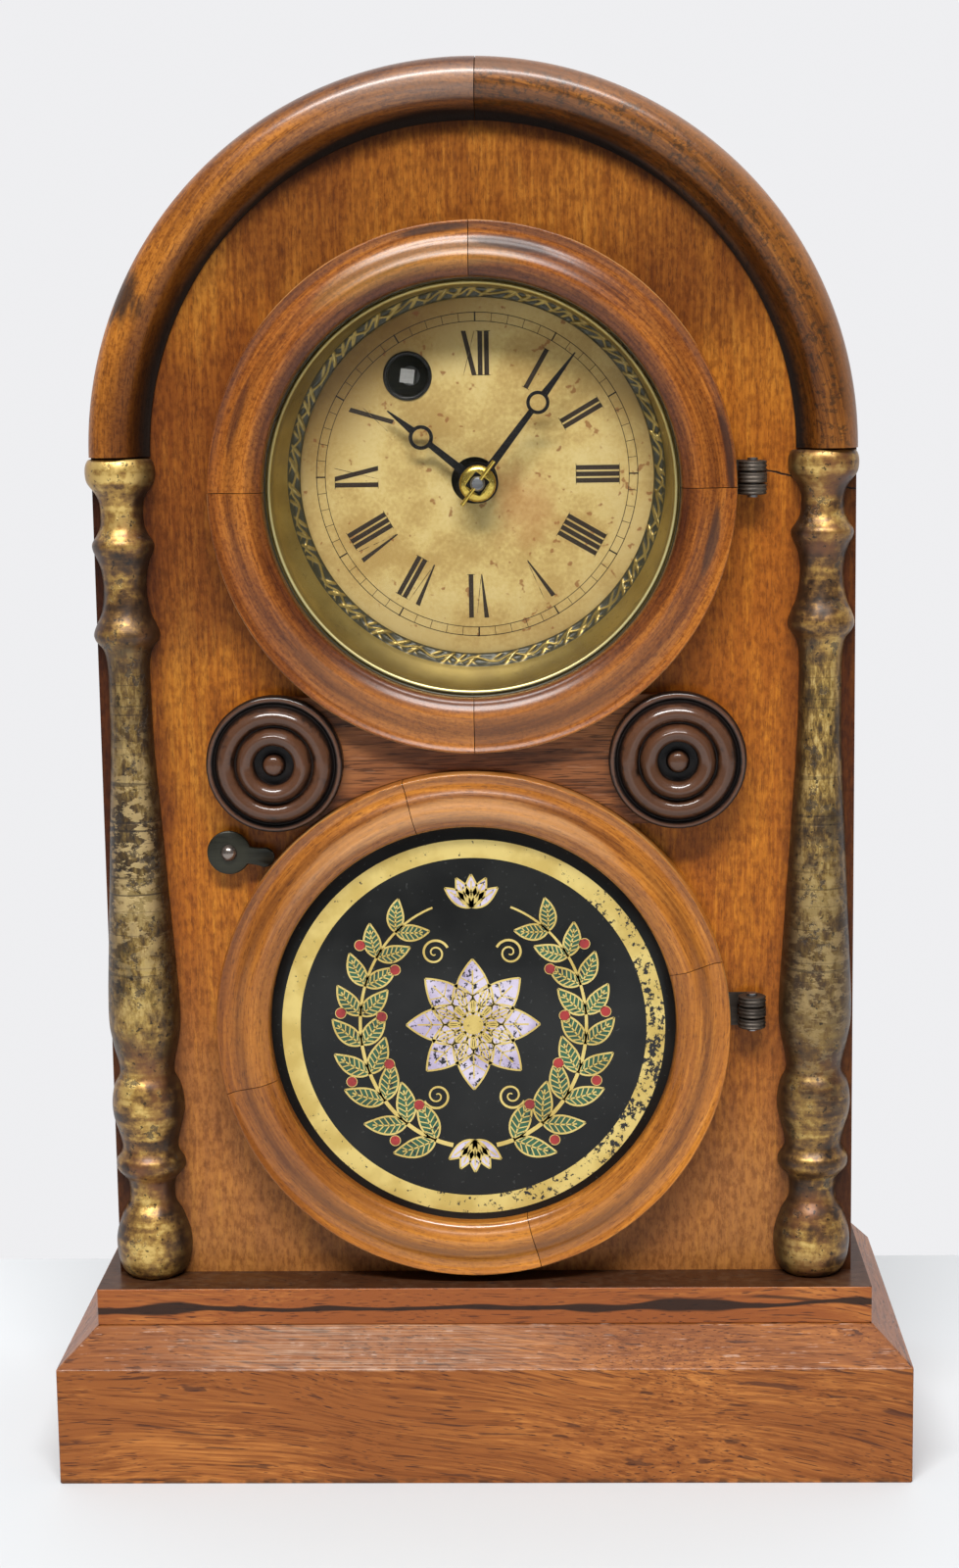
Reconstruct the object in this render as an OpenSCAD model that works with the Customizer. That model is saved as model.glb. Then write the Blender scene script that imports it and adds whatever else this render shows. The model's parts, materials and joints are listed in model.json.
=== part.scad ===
// Arch-topped shelf clock with a figure-of-eight door and a one-train movement.
// Millimetres. It stands on z = 0, faces -Y, and its middle line is x = 0.

/* [Part shown] */
// Name of one sub-part, or all of them

/* [Base] */
// Width of the base across its front face
base_w = 249; // [245:1:254]
// Depth of the base, front to back
base_d = 118; // [116:1:124]
// Height of the upright front face of the base
base_face_h = 34.7; // [28:0.1:42]
// How far the slope above that face runs inward
chamfer_run = 10.9; // [9:0.1:12]
// How far that slope rises
chamfer_rise = 9.8; // [6:0.1:14]
// Thickness of the base rails
base_rail_t = 20; // [16:0.5:24]
// Thickness of the back rail of the base
base_back_t = 12; // [10:0.5:16]
// Thickness of the plinth board
plinth_h = 11; // [8:0.5:14]

/* [Case] */
// Width of the case, which is also the width of the arch
case_w = 218; // [214:1:222]
// Height of the straight sides, up to the arch
case_side_h = 242.5; // [238:0.5:252]
// Thickness of the side boards and of the arch shell
side_t = 8; // [6:0.5:10]
// Thickness of the front panel
panel_t = 7; // [6.5:0.1:7.5]
// Front panel's face behind the base's face
panel_set = 26.5; // [25:0.1:28]
// Thickness of the back board
back_t = 5; // [4:0.5:6]
// Radial width of the arch moulding
moulding_w = 17.2; // [16:0.2:19]
// How far the arch moulding stands forward
moulding_t = 10; // [9:0.2:12]
// How far the arch moulding overhangs the case
moulding_over = 0.1; // [-0.6:0.1:1.2]
// Joint of the two moulding halves, clockwise from the top
seam_deg = 1.4; // [0:0.1:4]

/* [Columns] */
// Distance of each column's axis from the middle, at the top
column_top_x = 99.7; // [98.5:0.1:100.5]
// Distance of each column's axis from the middle, at the foot
column_foot_x = 97.1; // [96.5:0.1:100]
// Radius of the ball foot, the widest part
column_r = 11.2; // [10:0.1:11.5]

/* [Door] */
// Outer radius of both door rings
ring_r = 74.7; // [73:0.1:75]
// Inner radius of both door rings
ring_in = 59; // [58.6:0.1:60]
// Thickness of the rings at the crest
ring_t = 13; // [12:0.1:14]
// Space between the plinth and the lower ring
foot_gap = 2.3; // [2:0.1:4]
// Distance between the two ring centres
ring_pitch = 155.1; // [154:0.1:157]
// Lower ring's centre, to the right of the middle
lower_x = -1.9; // [-2.4:0.1:0]
// Turn of the lower ring's joints
lower_turn = 15; // [10:1:30]
// Radius of the rabbet that takes glass
rabbet_r = 62.6; // [62:0.1:63]
// Depth of the rabbet from the back of the ring
rabbet_t = 6.2; // [6:0.1:6.6]
// Thickness of the glass
glass_t = 2; // [1.6:0.1:2.1]
// Thickness of the rail between the rings
door_rail_t = 5; // [4:0.1:6]
// Centre of each rosette from the middle
rosette_x = 57.8; // [57:0.1:58.5]
// Space between a rosette and the rings
rosette_gap = 2.2; // [2:0.1:4]
// Height of the rosettes above the rail
rosette_h = 8.8; // [8:0.1:9.6]
// Radius of the upper opening in the front panel
upper_open_r = 61; // [60.6:0.1:61.4]
// Radius of the lower opening in the front panel
lower_open_r = 56; // [52:0.5:58]
// Space round the brass sight ring in the upper opening
sight_gap = 5.4; // [5:0.1:6.4]
// How far the throat of the sight ring steps in from the door ring
throat_step = 3.4; // [3.2:0.1:5]
// Radius of the brass sight ring where it meets the dial
sight_r = 50.6; // [50:0.1:52]

/* [Hinges] */
// Hinge axis to the right of the middle
hinge_x = 79.3; // [79.2:0.1:80]
// Radius of a knuckle
knuckle_r = 4.1; // [3.6:0.1:4.2]
// Height of one knuckle
knuckle_h = 3.3; // [3.2:0.1:4.4]
// Radius of the hinge pin
hinge_pin_r = 1.5; // [1.2:0.1:1.8]

/* [Latch] */
// Latch pivot from the middle
latch_x = -72.2; // [-73:0.1:-71.8]
// Latch pivot above the lower ring's centre
latch_rise = 51.1; // [50.8:0.1:52]
// Radius of the latch's disc
latch_r = 6.4; // [5.5:0.1:6.6]
// Reach of the latch's tail
latch_reach = 13.4; // [13:0.1:13.5]
// Fall of the tail below level, as the clock stands
latch_deg = 8; // [4:1:9]

/* [Dial and hands] */
// Dial centre to the right of the middle
dial_x = 1.5; // [0.5:0.1:1.8]
// Dial centre above the upper ring's centre
dial_rise = 1.5; // [0.5:0.1:1.8]
// Radius of the dial plate
dial_r = 66; // [65:0.5:68]
// How far the middle hole of the dial sits left of the arbor
hole_aside = 1.1; // [0:0.1:1.4]
// How far that hole sits above the arbor
hole_lift = 0.6; // [0:0.1:1]
// Thickness of the dial plate
dial_t = 0.6; // [0.4:0.1:0.8]
// Length of the hour hand
hour_len = 33; // [31:0.5:36]
// Length of the minute hand
minute_len = 46; // [44:0.5:46.5]
// Where the hour hand points, clockwise from the top
hour_deg = -51; // [-60:1:-40]
// Where the minute hand points, clockwise from the top
minute_deg = 37.6; // [30:0.1:45]

/* [Movement] */
// Winding arbor to the right of the dial centre
wind_dx = -19.9; // [-20.5:0.1:-19]
// Winding arbor above the dial centre
wind_dz = 30.5; // [30:0.1:31.5]
// Width of the winding square
wind_square = 4; // [3.4:0.1:4.2]
// Space between the front panel's back and the front plate
plate_set = 13.5; // [13.2:0.1:14.5]
// Thickness of the brass plates
plate_t = 1.5; // [1.2:0.1:1.8]
// Space between the plates
plate_space = 26.5; // [26.2:0.1:28]
// Tooth module of the train wheels
train_module = 0.5; // [0.49:0.01:0.51]
// Tooth module of the hour wheel
hour_module = 0.48; // [0.47:0.01:0.49]
// Pendulum length, pivot to middle of the bob
pendulum_len = 110.4; // [106:0.1:114]
// Radius of the pendulum bob
bob_r = 17; // [14:0.5:18]

/* [Clearances] */
// Space between glued or fixed pieces that lie close
fit_gap = 0.15; // [0.1:0.05:0.2]
// Radial space in a bearing
run_gap = 0.05; // [0.03:0.01:0.08]
// Space between the closed door and the front panel
door_gap = 0.4; // [0.35:0.05:0.5]

/* [Hidden] */
$fn = 96;
eps = 0.01;

y_base = -base_d / 2;
y_plinth = y_base + chamfer_run;
y_panel = y_base + panel_set;
y_panel_back = y_panel + panel_t;
y_board_back = base_d / 2 - 1;
y_board = y_board_back - back_t;
y_ring = y_panel - door_gap;
z_plinth = base_face_h + chamfer_rise;
z_case = z_plinth + plinth_h;
z_arch = z_case + case_side_h;
arch_r = case_w / 2;
arch_in = arch_r - side_t;
lower_z = z_case + foot_gap + ring_r;
upper_z = lower_z + ring_pitch;
mid_z = (upper_z + lower_z) / 2;
rosette_r = sqrt(pow(rosette_x + lower_x, 2) + pow(ring_pitch / 2, 2)) - ring_r - rosette_gap + 1;
rail_half = rosette_r - 1;

y_glass = y_ring - rabbet_t;
sight_sheet = 0.8;
y_sight_end = y_panel_back - 1.4;

y_hinge = y_panel - knuckle_r - 0.5;
hinge_zs = [upper_z + 2.4, lower_z + 2.9];
leaf_t = 1;
pin_len = 3 * knuckle_h + 1.2;

latch_z = lower_z + latch_rise;
latch_pin_r = 1.6;
tail_r = 2.6;
y_tail = y_panel - 3.1;
tail_t = 1.6;

y_dial = y_panel_back;
y_dial_back = y_dial + dial_t;
dial_z = upper_z + dial_rise;
dial_hole_r = 6.7;
eyelet_r = 7;
eyelet_in = 5.9;
wind_x = dial_x + wind_dx;
wind_z = dial_z + wind_dz;

y_front = y_panel_back + plate_set;
y_front_in = y_front + plate_t;
y_rear_in = y_front_in + plate_space;
y_rear = y_rear_in + plate_t;
plate_lo = [-54, -56];
plate_hi = [50, 76];
pillar_spots = [[-44, -44], [-46, 58], [40, 62], [42, -44]];
screw_spots = [[-44, -53], [40, -53], [-44, 73], [38, 73]];
rail_depth = 16;

main_teeth = 64;
leaves = 8;
centre_teeth = 96;
third_teeth = 80;
escape_teeth = 45;
cannon_leaves = 12;
minute_teeth = 36;
minute_leaves = 10;
hour_teeth = 40;
main_gap = sqrt(wind_dx * wind_dx + wind_dz * wind_dz);
main_module = 2 * main_gap / (main_teeth + leaves);
third_gap = train_module * (centre_teeth + leaves) / 2;
escape_gap = train_module * (third_teeth + leaves) / 2;
minute_gap = hour_module * (minute_leaves + hour_teeth) / 2;
minute_module = 2 * minute_gap / (cannon_leaves + minute_teeth);

// Arbor places, as seen from the front, from the dial centre
escape_drop = third_gap + 1;
third_dz = (escape_gap * escape_gap - third_gap * third_gap - escape_drop * escape_drop)
    / (2 * escape_drop);
third_dx = sqrt(third_gap * third_gap - third_dz * third_dz);
escape_r = 22 * train_module;
verge_drop = escape_drop + escape_r + 2.5;
minute_turn = 60;

centre_at = [dial_x, dial_z];
wind_at = [wind_x, wind_z];
third_at = centre_at + [third_dx, third_dz];
escape_at = centre_at + [0, -escape_drop];
verge_at = centre_at + [0, -verge_drop];
minute_at = centre_at + minute_gap * [cos(minute_turn), sin(minute_turn)];

// Places along the arbors
y_main = y_front_in + 1.5;
main_t = 2;
y_ratchet = y_main + main_t + 0.4;
ratchet_t = 1.4;
y_spring = y_ratchet + ratchet_t + 0.6;
spring_w = 12;
y_centre = y_spring + spring_w + 1.6;
wheel_t = 1.2;
y_third = y_centre + wheel_t + 1.8;
y_escape = y_front_in + 12.5;
escape_t = 1;
y_rod = y_front - 5.5;
arbor_r = 1.2;
pivot_r = 0.7;
centre_r = 1.3;
centre_front_r = 2.2;
wind_r = 2.8;
hour_pipe_r = 3.2;
y_hour = y_front - 7;
y_minute = y_front - 3.2;
y_hour_hand = y_panel + 3.1;
y_minute_hand = y_panel - 0.5;
y_tip = y_panel - 3.8;
hand_t = 0.8;
rod_r = 0.8;
ratchet_teeth = 16;
ratchet_r = 11;
ratchet_root = 8.6;
click_at = [-11.5, 13.2];

// A flat outline drawn as seen from the front, made solid between two depths
module slab(y0, y1) {
    translate([0, y1, 0]) rotate([90, 0, 0]) linear_extrude(height = y1 - y0) children();
}

// A round bar that runs front to back
module bar(at, r, y0, y1) {
    translate([at[0], y1, at[1]]) rotate([90, 0, 0]) cylinder(r = r, h = y1 - y0);
}

// A profile of radius and forward height, turned about a front-to-back axis
module turned(at, y0, angle = 360) {
    translate([at[0], y0, at[1]]) rotate([90, 0, 0]) rotate_extrude(angle = angle) children();
}

// Involute tooth: half of its angle at radius r, for pitch radius rp and n teeth
function involute(a) = tan(a) * 180 / PI - a;
press_deg = 25;
function tooth_half(r, rp, n, slack) =
    90 / n - slack / rp * 90 / PI + involute(press_deg)
    - (r > rp * cos(press_deg) ? involute(acos(rp * cos(press_deg) / r)) : 0);
function gear_points(m, n, add, ded, turn) =
    let (rp = m * n / 2, tip = rp + add * m, root = rp - ded * m, slack = 0.1 * m,
         rs = [root, max(root + 0.05 * m, rp * cos(press_deg)), rp, tip])
    [for (i = [0:n - 1])
        let (mid = turn + 360 * i / n)
        each concat(
            [for (k = [0:3]) let (a = mid - tooth_half(rs[k], rp, n, slack)) rs[k] * [cos(a), sin(a)]],
            [for (k = [3:-1:0]) let (a = mid + tooth_half(rs[k], rp, n, slack)) rs[k] * [cos(a), sin(a)]])];

// A wheel has a tooth, and a pinion a space, on the line between their centres
function line_deg(a, b) = atan2(b[1] - a[1], b[0] - a[0]);
module wheel2d(m, n, turn) {
    polygon(gear_points(m, n, 0.7, 1.05, turn));
}
module pinion2d(m, n, toward) {
    polygon(gear_points(m, n, 0.7, 1.0, toward + 180 / n));
}
module at_spot(at) {
    translate([at[0], at[1]]) children();
}

// Four arms left in a wheel's web
module arms2d(r_out, r_in, turn) {
    difference() {
        circle(r = r_out);
        circle(r = r_in);
        for (i = [0:1])
            rotate(turn + 90 * i) square([2 * r_out + 2, 3.2], center = true);
    }
}

// Base: the front and side rails meet in mitres and share one sloped profile
module base_rail_profile(outer) {
    polygon([[outer, 0], [outer, base_face_h], [outer + chamfer_run, z_plinth],
        [outer + base_rail_t, z_plinth], [outer + base_rail_t, 0]]);
}
module base_front_rail() {
    color("SaddleBrown")
        intersection() {
            rotate([90, 0, 90])
                translate([0, 0, -base_w / 2])
                    linear_extrude(height = base_w) base_rail_profile(y_base);
            linear_extrude(height = z_plinth)
                polygon([[-base_w / 2, y_base], [base_w / 2, y_base],
                    [base_w / 2 - base_rail_t, y_base + base_rail_t],
                    [-base_w / 2 + base_rail_t, y_base + base_rail_t]]);
        }
}
module base_side_rail() {
    intersection() {
        translate([0, base_d / 2, 0]) rotate([90, 0, 0])
            linear_extrude(height = base_d) base_rail_profile(-base_w / 2);
        linear_extrude(height = z_plinth)
            polygon([[-base_w / 2, y_base], [-base_w / 2 + base_rail_t, y_base + base_rail_t],
                [-base_w / 2 + base_rail_t, base_d / 2], [-base_w / 2, base_d / 2]]);
    }
}
module base_side_rails() {
    color("SaddleBrown") {
        base_side_rail();
        mirror([1, 0, 0]) base_side_rail();
    }
}
module base_back_rail() {
    color("Peru")
        translate([-base_w / 2 + base_rail_t, base_d / 2 - base_back_t, 0])
            cube([base_w - 2 * base_rail_t, base_back_t, z_plinth]);
}
module plinth_board() {
    color("SaddleBrown")
        translate([-base_w / 2 + chamfer_run, y_plinth, z_plinth])
            cube([base_w - 2 * chamfer_run, base_d / 2 - y_plinth, plinth_h]);
}

// Case
board_screws = concat(
    [for (s = [-1, 1], z = [0.12, 0.5, 0.88]) [s * (arch_r - side_t / 2), z_case + z * case_side_h]],
    [for (a = [40, 90, 140]) [0, z_arch] + (arch_r - side_t / 2) * [cos(a), sin(a)]]);
module board_screw_holes() {
    for (s = board_screws)
        bar(s, 1.35, y_board - 12.5, y_board_back + eps);
}
module case_sides() {
    color("Peru")
        difference() {
            for (x = [-arch_r, arch_r - side_t])
                translate([x, y_panel_back, z_case])
                    cube([side_t, y_board - y_panel_back, case_side_h]);
            board_screw_holes();
        }
}
module half_disc(r) {
    intersection() {
        circle(r = r);
        translate([-r - 1, 0]) square([2 * r + 2, r + 1]);
    }
}
module case_arch() {
    color("Peru")
        difference() {
            slab(y_panel_back, y_board)
                translate([0, z_arch])
                    difference() {
                        half_disc(arch_r);
                        circle(r = arch_in);
                    }
            board_screw_holes();
        }
}
module case_outline() {
    translate([-arch_r, z_case]) square([case_w, case_side_h]);
    translate([0, z_arch]) half_disc(arch_r);
}
module case_inside() {
    translate([-arch_in + fit_gap, z_case]) square([2 * arch_in - 2 * fit_gap, case_side_h]);
    translate([0, z_arch]) circle(r = arch_in - fit_gap);
}
module front_panel() {
    color("Chocolate")
        difference() {
            slab(y_panel, y_panel_back)
                difference() {
                    case_outline();
                    translate([0, upper_z]) circle(r = upper_open_r);
                    translate([lower_x, lower_z]) circle(r = lower_open_r);
                    translate([latch_x, latch_z]) circle(r = latch_pin_r + run_gap);
                    for (z = hinge_zs)
                        translate([hinge_x + knuckle_r - leaf_t - fit_gap, z - knuckle_h / 2])
                            square([leaf_t + 2 * fit_gap, knuckle_h]);
                }
            for (p = dial_pin_spots)
                bar(p, 0.65, y_panel + 2, y_panel_back + eps);
        }
}
module back_board() {
    color("BurlyWood")
        difference() {
            slab(y_board, y_board_back) case_outline();
            board_screw_holes();
        }
}
module back_board_screws() {
    color("DimGray")
        for (s = board_screws) {
            bar(s, 1.3, y_board - 12, y_board_back + eps);
            bar(s, 2.6, y_board_back, y_board_back + 0.9);
        }
}

// Arch moulding: a half round with a cove inside it, in two glued halves
moulding_out = arch_r + moulding_over;
moulding_in = moulding_out - moulding_w;
moulding_round = 0.405 * moulding_w;
cove_r = moulding_w - 2 * moulding_round;
cove_floor = 0.8;
module moulding_profile() {
    difference() {
        union() {
            translate([moulding_in, 0])
                square([moulding_w - moulding_round, cove_r + cove_floor]);
            translate([moulding_out - moulding_round, 0])
                square([moulding_round, moulding_t - moulding_round]);
            intersection() {
                translate([moulding_out - moulding_round, moulding_t - moulding_round])
                    circle(r = moulding_round);
                translate([moulding_in, 0]) square([moulding_w, 2 * moulding_t]);
            }
        }
        translate([moulding_in, cove_r + cove_floor]) circle(r = cove_r);
    }
}
module arch_moulding_left() {
    color("Sienna")
        translate([0, y_panel, z_arch]) rotate([90, 0, 0]) rotate([0, 0, 90 - seam_deg + 0.05])
            rotate_extrude(angle = 90 + seam_deg - 0.05) moulding_profile();
}
module arch_moulding_right() {
    color("Sienna")
        turned([0, z_arch], y_panel, 90 - seam_deg) moulding_profile();
}

// Half columns: radii as a share of the ball foot, heights as a share of the length
column_z0 = z_case + 0.3;
column_len = case_side_h - 0.8;
column_shape = [
    [0, 0.715], [0.007, 0.855], [0.02, 0.955], [0.033, 0.995], [0.045, 1], [0.058, 0.955],
    [0.071, 0.865], [0.079, 0.795], [0.088, 0.68], [0.093, 0.625], [0.103, 0.6], [0.112, 0.605],
    [0.122, 0.66], [0.128, 0.785], [0.135, 0.9], [0.141, 0.92], [0.148, 0.895], [0.154, 0.795],
    [0.161, 0.74], [0.171, 0.76], [0.185, 0.84], [0.201, 0.93], [0.214, 0.955], [0.229, 0.93],
    [0.241, 0.865], [0.254, 0.735], [0.26, 0.725], [0.272, 0.76], [0.286, 0.835], [0.299, 0.89],
    [0.311, 0.93], [0.33, 0.94], [0.355, 0.93], [0.655, 0.565], [0.7, 0.55], [0.755, 0.55],
    [0.769, 0.58], [0.779, 0.65], [0.789, 0.795], [0.796, 0.85], [0.801, 0.84], [0.811, 0.77],
    [0.823, 0.66], [0.834, 0.6], [0.848, 0.56], [0.862, 0.56], [0.877, 0.6], [0.889, 0.68],
    [0.898, 0.775], [0.904, 0.8], [0.909, 0.77], [0.914, 0.68], [0.923, 0.58], [0.935, 0.55],
    [0.947, 0.555], [0.957, 0.615], [0.964, 0.715], [0.973, 0.855], [0.982, 0.895], [0.992, 0.885],
    [0.998, 0.82], [1, 0.77]];
module column() {
    lean = atan2(column_top_x - column_foot_x, column_len);
    translate([column_foot_x, y_panel, column_z0]) rotate([0, lean, 0]) rotate([0, 0, 180])
        rotate_extrude(angle = 180)
            polygon(concat([[0, 0]],
                [for (p = column_shape) [p[1] * column_r, p[0] * column_len]],
                [[0, column_len]]));
}
module column_left() {
    color("DarkGoldenrod") mirror([1, 0, 0]) column();
}
module column_right() {
    color("DarkGoldenrod") column();
}
module movement_rails() {
    color("BurlyWood")
        difference() {
            slab(y_front_in, y_front_in + rail_depth)
                intersection() {
                    case_inside();
                    for (z = [plate_lo[1] - 6, plate_hi[1] - 6])
                        translate([-case_w, dial_z + z]) square([2 * case_w, 12]);
                }
            for (s = screw_spots)
                bar(centre_at + s, 1.65, y_front_in - eps, y_front_in + 12.5);
        }
}

// Door rings: one turned profile, four glued segments each
ring_w = ring_r - ring_in;
ring_shape = [[0, 0], [0, 0.78], [0.006, 0.83], [0.018, 0.86], [0.034, 0.866], [0.052, 0.858],
    [0.085, 0.838], [0.125, 0.817], [0.18, 0.808], [0.26, 0.826], [0.31, 0.85], [0.355, 0.877],
    [0.4, 0.9], [0.5, 0.937], [0.545, 0.957], [0.585, 0.977], [0.62, 0.992], [0.66, 1], [0.7, 0.996],
    [0.74, 0.984], [0.78, 0.967], [0.82, 0.943], [0.86, 0.914], [0.92, 0.882], [0.95, 0.862],
    [0.975, 0.835], [0.992, 0.795], [1, 0.74]];
module ring_profile() {
    polygon(concat([for (p = ring_shape) [ring_r - p[0] * ring_w, p[1] * ring_t]],
        [[ring_in, rabbet_t], [rabbet_r, rabbet_t], [rabbet_r, 0]]));
}
joint_deg = fit_gap / ring_r * 180 / PI;
module ring_segments(at, turn) {
    translate([at[0], y_ring, at[1]]) rotate([90, 0, 0])
        for (i = [0:3])
            rotate([0, 0, turn + 90 * i]) rotate_extrude(angle = 90 - joint_deg) ring_profile();
}
leaf_x = ring_r - 10.5;
module leaf_pocket(z) {
    translate([leaf_x - fit_gap, y_hinge + knuckle_r - leaf_t - fit_gap, z - 1.5 * knuckle_h - fit_gap])
        cube([hinge_x - leaf_x, leaf_t + door_gap + 1, 3 * knuckle_h + 2 * fit_gap]);
}
module upper_ring_segments() {
    color("Chocolate")
        difference() {
            ring_segments([0, upper_z], 0);
            leaf_pocket(hinge_zs[0]);
        }
}
module lower_ring_segments() {
    color("Chocolate")
        difference() {
            ring_segments([lower_x, lower_z], lower_turn);
            leaf_pocket(hinge_zs[1]);
            bar([latch_x, latch_z], latch_reach + 0.4, y_tail - tail_t - 0.4, y_tail + 0.4);
        }
}
module door_rail() {
    color("Maroon")
        slab(y_ring - door_rail_t, y_ring)
            difference() {
                union() {
                    translate([-rosette_x, mid_z - rail_half]) square([2 * rosette_x, 2 * rail_half]);
                    for (s = [-1, 1])
                        translate([s * rosette_x, mid_z]) circle(r = rosette_r - 1.2);
                }
                translate([0, upper_z]) circle(r = ring_r + fit_gap);
                translate([lower_x, lower_z]) circle(r = ring_r + fit_gap);
            }
}
rosette_shape = [[1, 0], [1, 0.41], [0.985, 0.475], [0.95, 0.51], [0.91, 0.49], [0.88, 0.445], [0.86, 0.475],
    [0.83, 0.635], [0.78, 0.785], [0.71, 0.85], [0.64, 0.805], [0.59, 0.68], [0.565, 0.57], [0.54, 0.68],
    [0.5, 0.865], [0.43, 1], [0.36, 0.945], [0.31, 0.82], [0.29, 0.635], [0.28, 0.475], [0.17, 0.475],
    [0.155, 0.57], [0.14, 0.75], [0.1, 0.83], [0.05, 0.86]];
module rosettes() {
    color("Maroon")
        for (s = [-1, 1])
            turned([s * rosette_x, mid_z], y_ring - door_rail_t)
                polygon(concat([[0, 0]], [for (p = rosette_shape) [p[0] * rosette_r, p[1] * rosette_h]],
                    [[0, 0.865 * rosette_h]]));
}
module upper_glass() {
    color("LightCyan", 0.4)
        bar([0, upper_z], rabbet_r - fit_gap, y_glass, y_glass + glass_t);
}
module sight_ring() {
    back = y_glass + glass_t;
    depth = y_sight_end - back;
    throat = y_panel - back;
    throat_r = min(upper_open_r - sight_gap, ring_in - throat_step);
    color("Goldenrod")
        turned([0, upper_z], back)
            polygon([[rabbet_r - fit_gap, 0], [ring_in - 0.5, 0], [throat_r, -throat], [sight_r, -depth],
                [sight_r + sight_sheet, -depth], [throat_r + sight_sheet, -throat],
                [ring_in + 0.3, -sight_sheet], [rabbet_r - fit_gap, -sight_sheet]]);
}
module tablet_glass() {
    color("Black")
        bar([lower_x, lower_z], rabbet_r - fit_gap, y_glass, y_glass + glass_t);
}
module tablet_retainer() {
    color("Peru")
        slab(y_glass + glass_t, y_glass + glass_t + 2.4)
            translate([lower_x, lower_z])
                difference() {
                    circle(r = rabbet_r - fit_gap);
                    circle(r = rabbet_r - 5);
                }
}

// Hinges: the door leaf has the outer knuckles, the case leaf the middle one
module door_hinge_leaves() {
    color("DimGray")
        for (z = hinge_zs)
            difference() {
                union() {
                    for (s = [-1, 1])
                        translate([hinge_x, y_hinge, z + s * knuckle_h - (knuckle_h - fit_gap) / 2])
                            cylinder(r = knuckle_r, h = knuckle_h - fit_gap);
                    translate([leaf_x, y_hinge + knuckle_r - leaf_t, z - 1.5 * knuckle_h + fit_gap / 2])
                        difference() {
                            cube([hinge_x - leaf_x, leaf_t, 3 * knuckle_h - fit_gap]);
                            translate([hinge_x - leaf_x - knuckle_r - 0.4, -1, knuckle_h - fit_gap])
                                cube([knuckle_r + 1, leaf_t + 2, knuckle_h + fit_gap]);
                        }
                }
                translate([hinge_x, y_hinge, z - 10]) cylinder(r = hinge_pin_r + 0.02, h = 20);
            }
}
module case_hinge_leaves() {
    h = knuckle_h - 2 * fit_gap;
    color("DimGray")
        for (z = hinge_zs)
            difference() {
                union() {
                    translate([hinge_x, y_hinge, z - h / 2]) cylinder(r = knuckle_r, h = h);
                    translate([hinge_x + knuckle_r - leaf_t, y_hinge, z - h / 2])
                        cube([leaf_t, y_panel_back + leaf_t - y_hinge, h]);
                    translate([hinge_x + knuckle_r - leaf_t, y_panel_back, z - h / 2])
                        cube([10, leaf_t, h]);
                }
                translate([hinge_x, y_hinge, z - 10]) cylinder(r = hinge_pin_r + run_gap, h = 20);
            }
}
module hinge_pins() {
    color("Gray")
        for (z = hinge_zs)
            translate([hinge_x, y_hinge, z - pin_len / 2]) cylinder(r = hinge_pin_r, h = pin_len);
}

// Turn button that holds the door shut
module latch_button() {
    tip = latch_reach - tail_r;
    color("DarkSlateGray")
        difference() {
            union() {
                bar([latch_x, latch_z], latch_r, y_tail - tail_t, y_tail);
                bar([latch_x, latch_z], 3.4, y_tail - eps, y_panel - 0.3);
                slab(y_tail - tail_t, y_tail)
                    translate([latch_x, latch_z]) rotate(-latch_deg) {
                        translate([0, -tail_r]) square([tip, 2 * tail_r]);
                        translate([tip, 0]) circle(r = tail_r);
                    }
            }
            bar([latch_x, latch_z], latch_pin_r + 0.02, y_panel - 20, y_panel);
        }
}
module latch_pivot() {
    color("DimGray") {
        bar([latch_x, latch_z], latch_pin_r, y_tail - tail_t - eps, y_panel_back + 1.2);
        bar([latch_x, latch_z], 3.2, y_panel_back + 0.3, y_panel_back + 1.3);
        turned([latch_x, latch_z], y_tail - tail_t)
            polygon([[0, 0], [2.2, 0], [2.2, 0.5], [1.8, 1.3], [1, 1.8], [0, 2]]);
    }
}

// Dial
dial_pin_spots = [for (i = [0:3]) centre_at + (dial_r - 2.4) * [cos(45 + 90 * i), sin(45 + 90 * i)]];
module dial_plate() {
    color("Wheat")
        slab(y_dial, y_dial_back)
            difference() {
                translate(centre_at) circle(r = dial_r);
                translate(centre_at + [-hole_aside, hole_lift]) circle(r = dial_hole_r);
                translate(wind_at) circle(r = eyelet_in + 0.4);
                for (p = dial_pin_spots)
                    translate(p) circle(r = 0.65);
            }
}
module dial_pins() {
    color("Gray")
        for (p = dial_pin_spots) {
            bar(p, 0.6, y_panel + 2.5, y_dial_back + eps);
            bar(p, 1.5, y_dial_back, y_dial_back + 0.6);
        }
}
module winding_eyelet() {
    color("DarkSlateGray") {
        slab(y_dial - 0.5, y_dial)
            translate(wind_at) difference() {
                circle(r = eyelet_r);
                circle(r = eyelet_in);
            }
        slab(y_dial - eps, y_dial_back + 0.8)
            translate(wind_at) difference() {
                circle(r = eyelet_in + 0.3);
                circle(r = eyelet_in);
            }
    }
}

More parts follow.
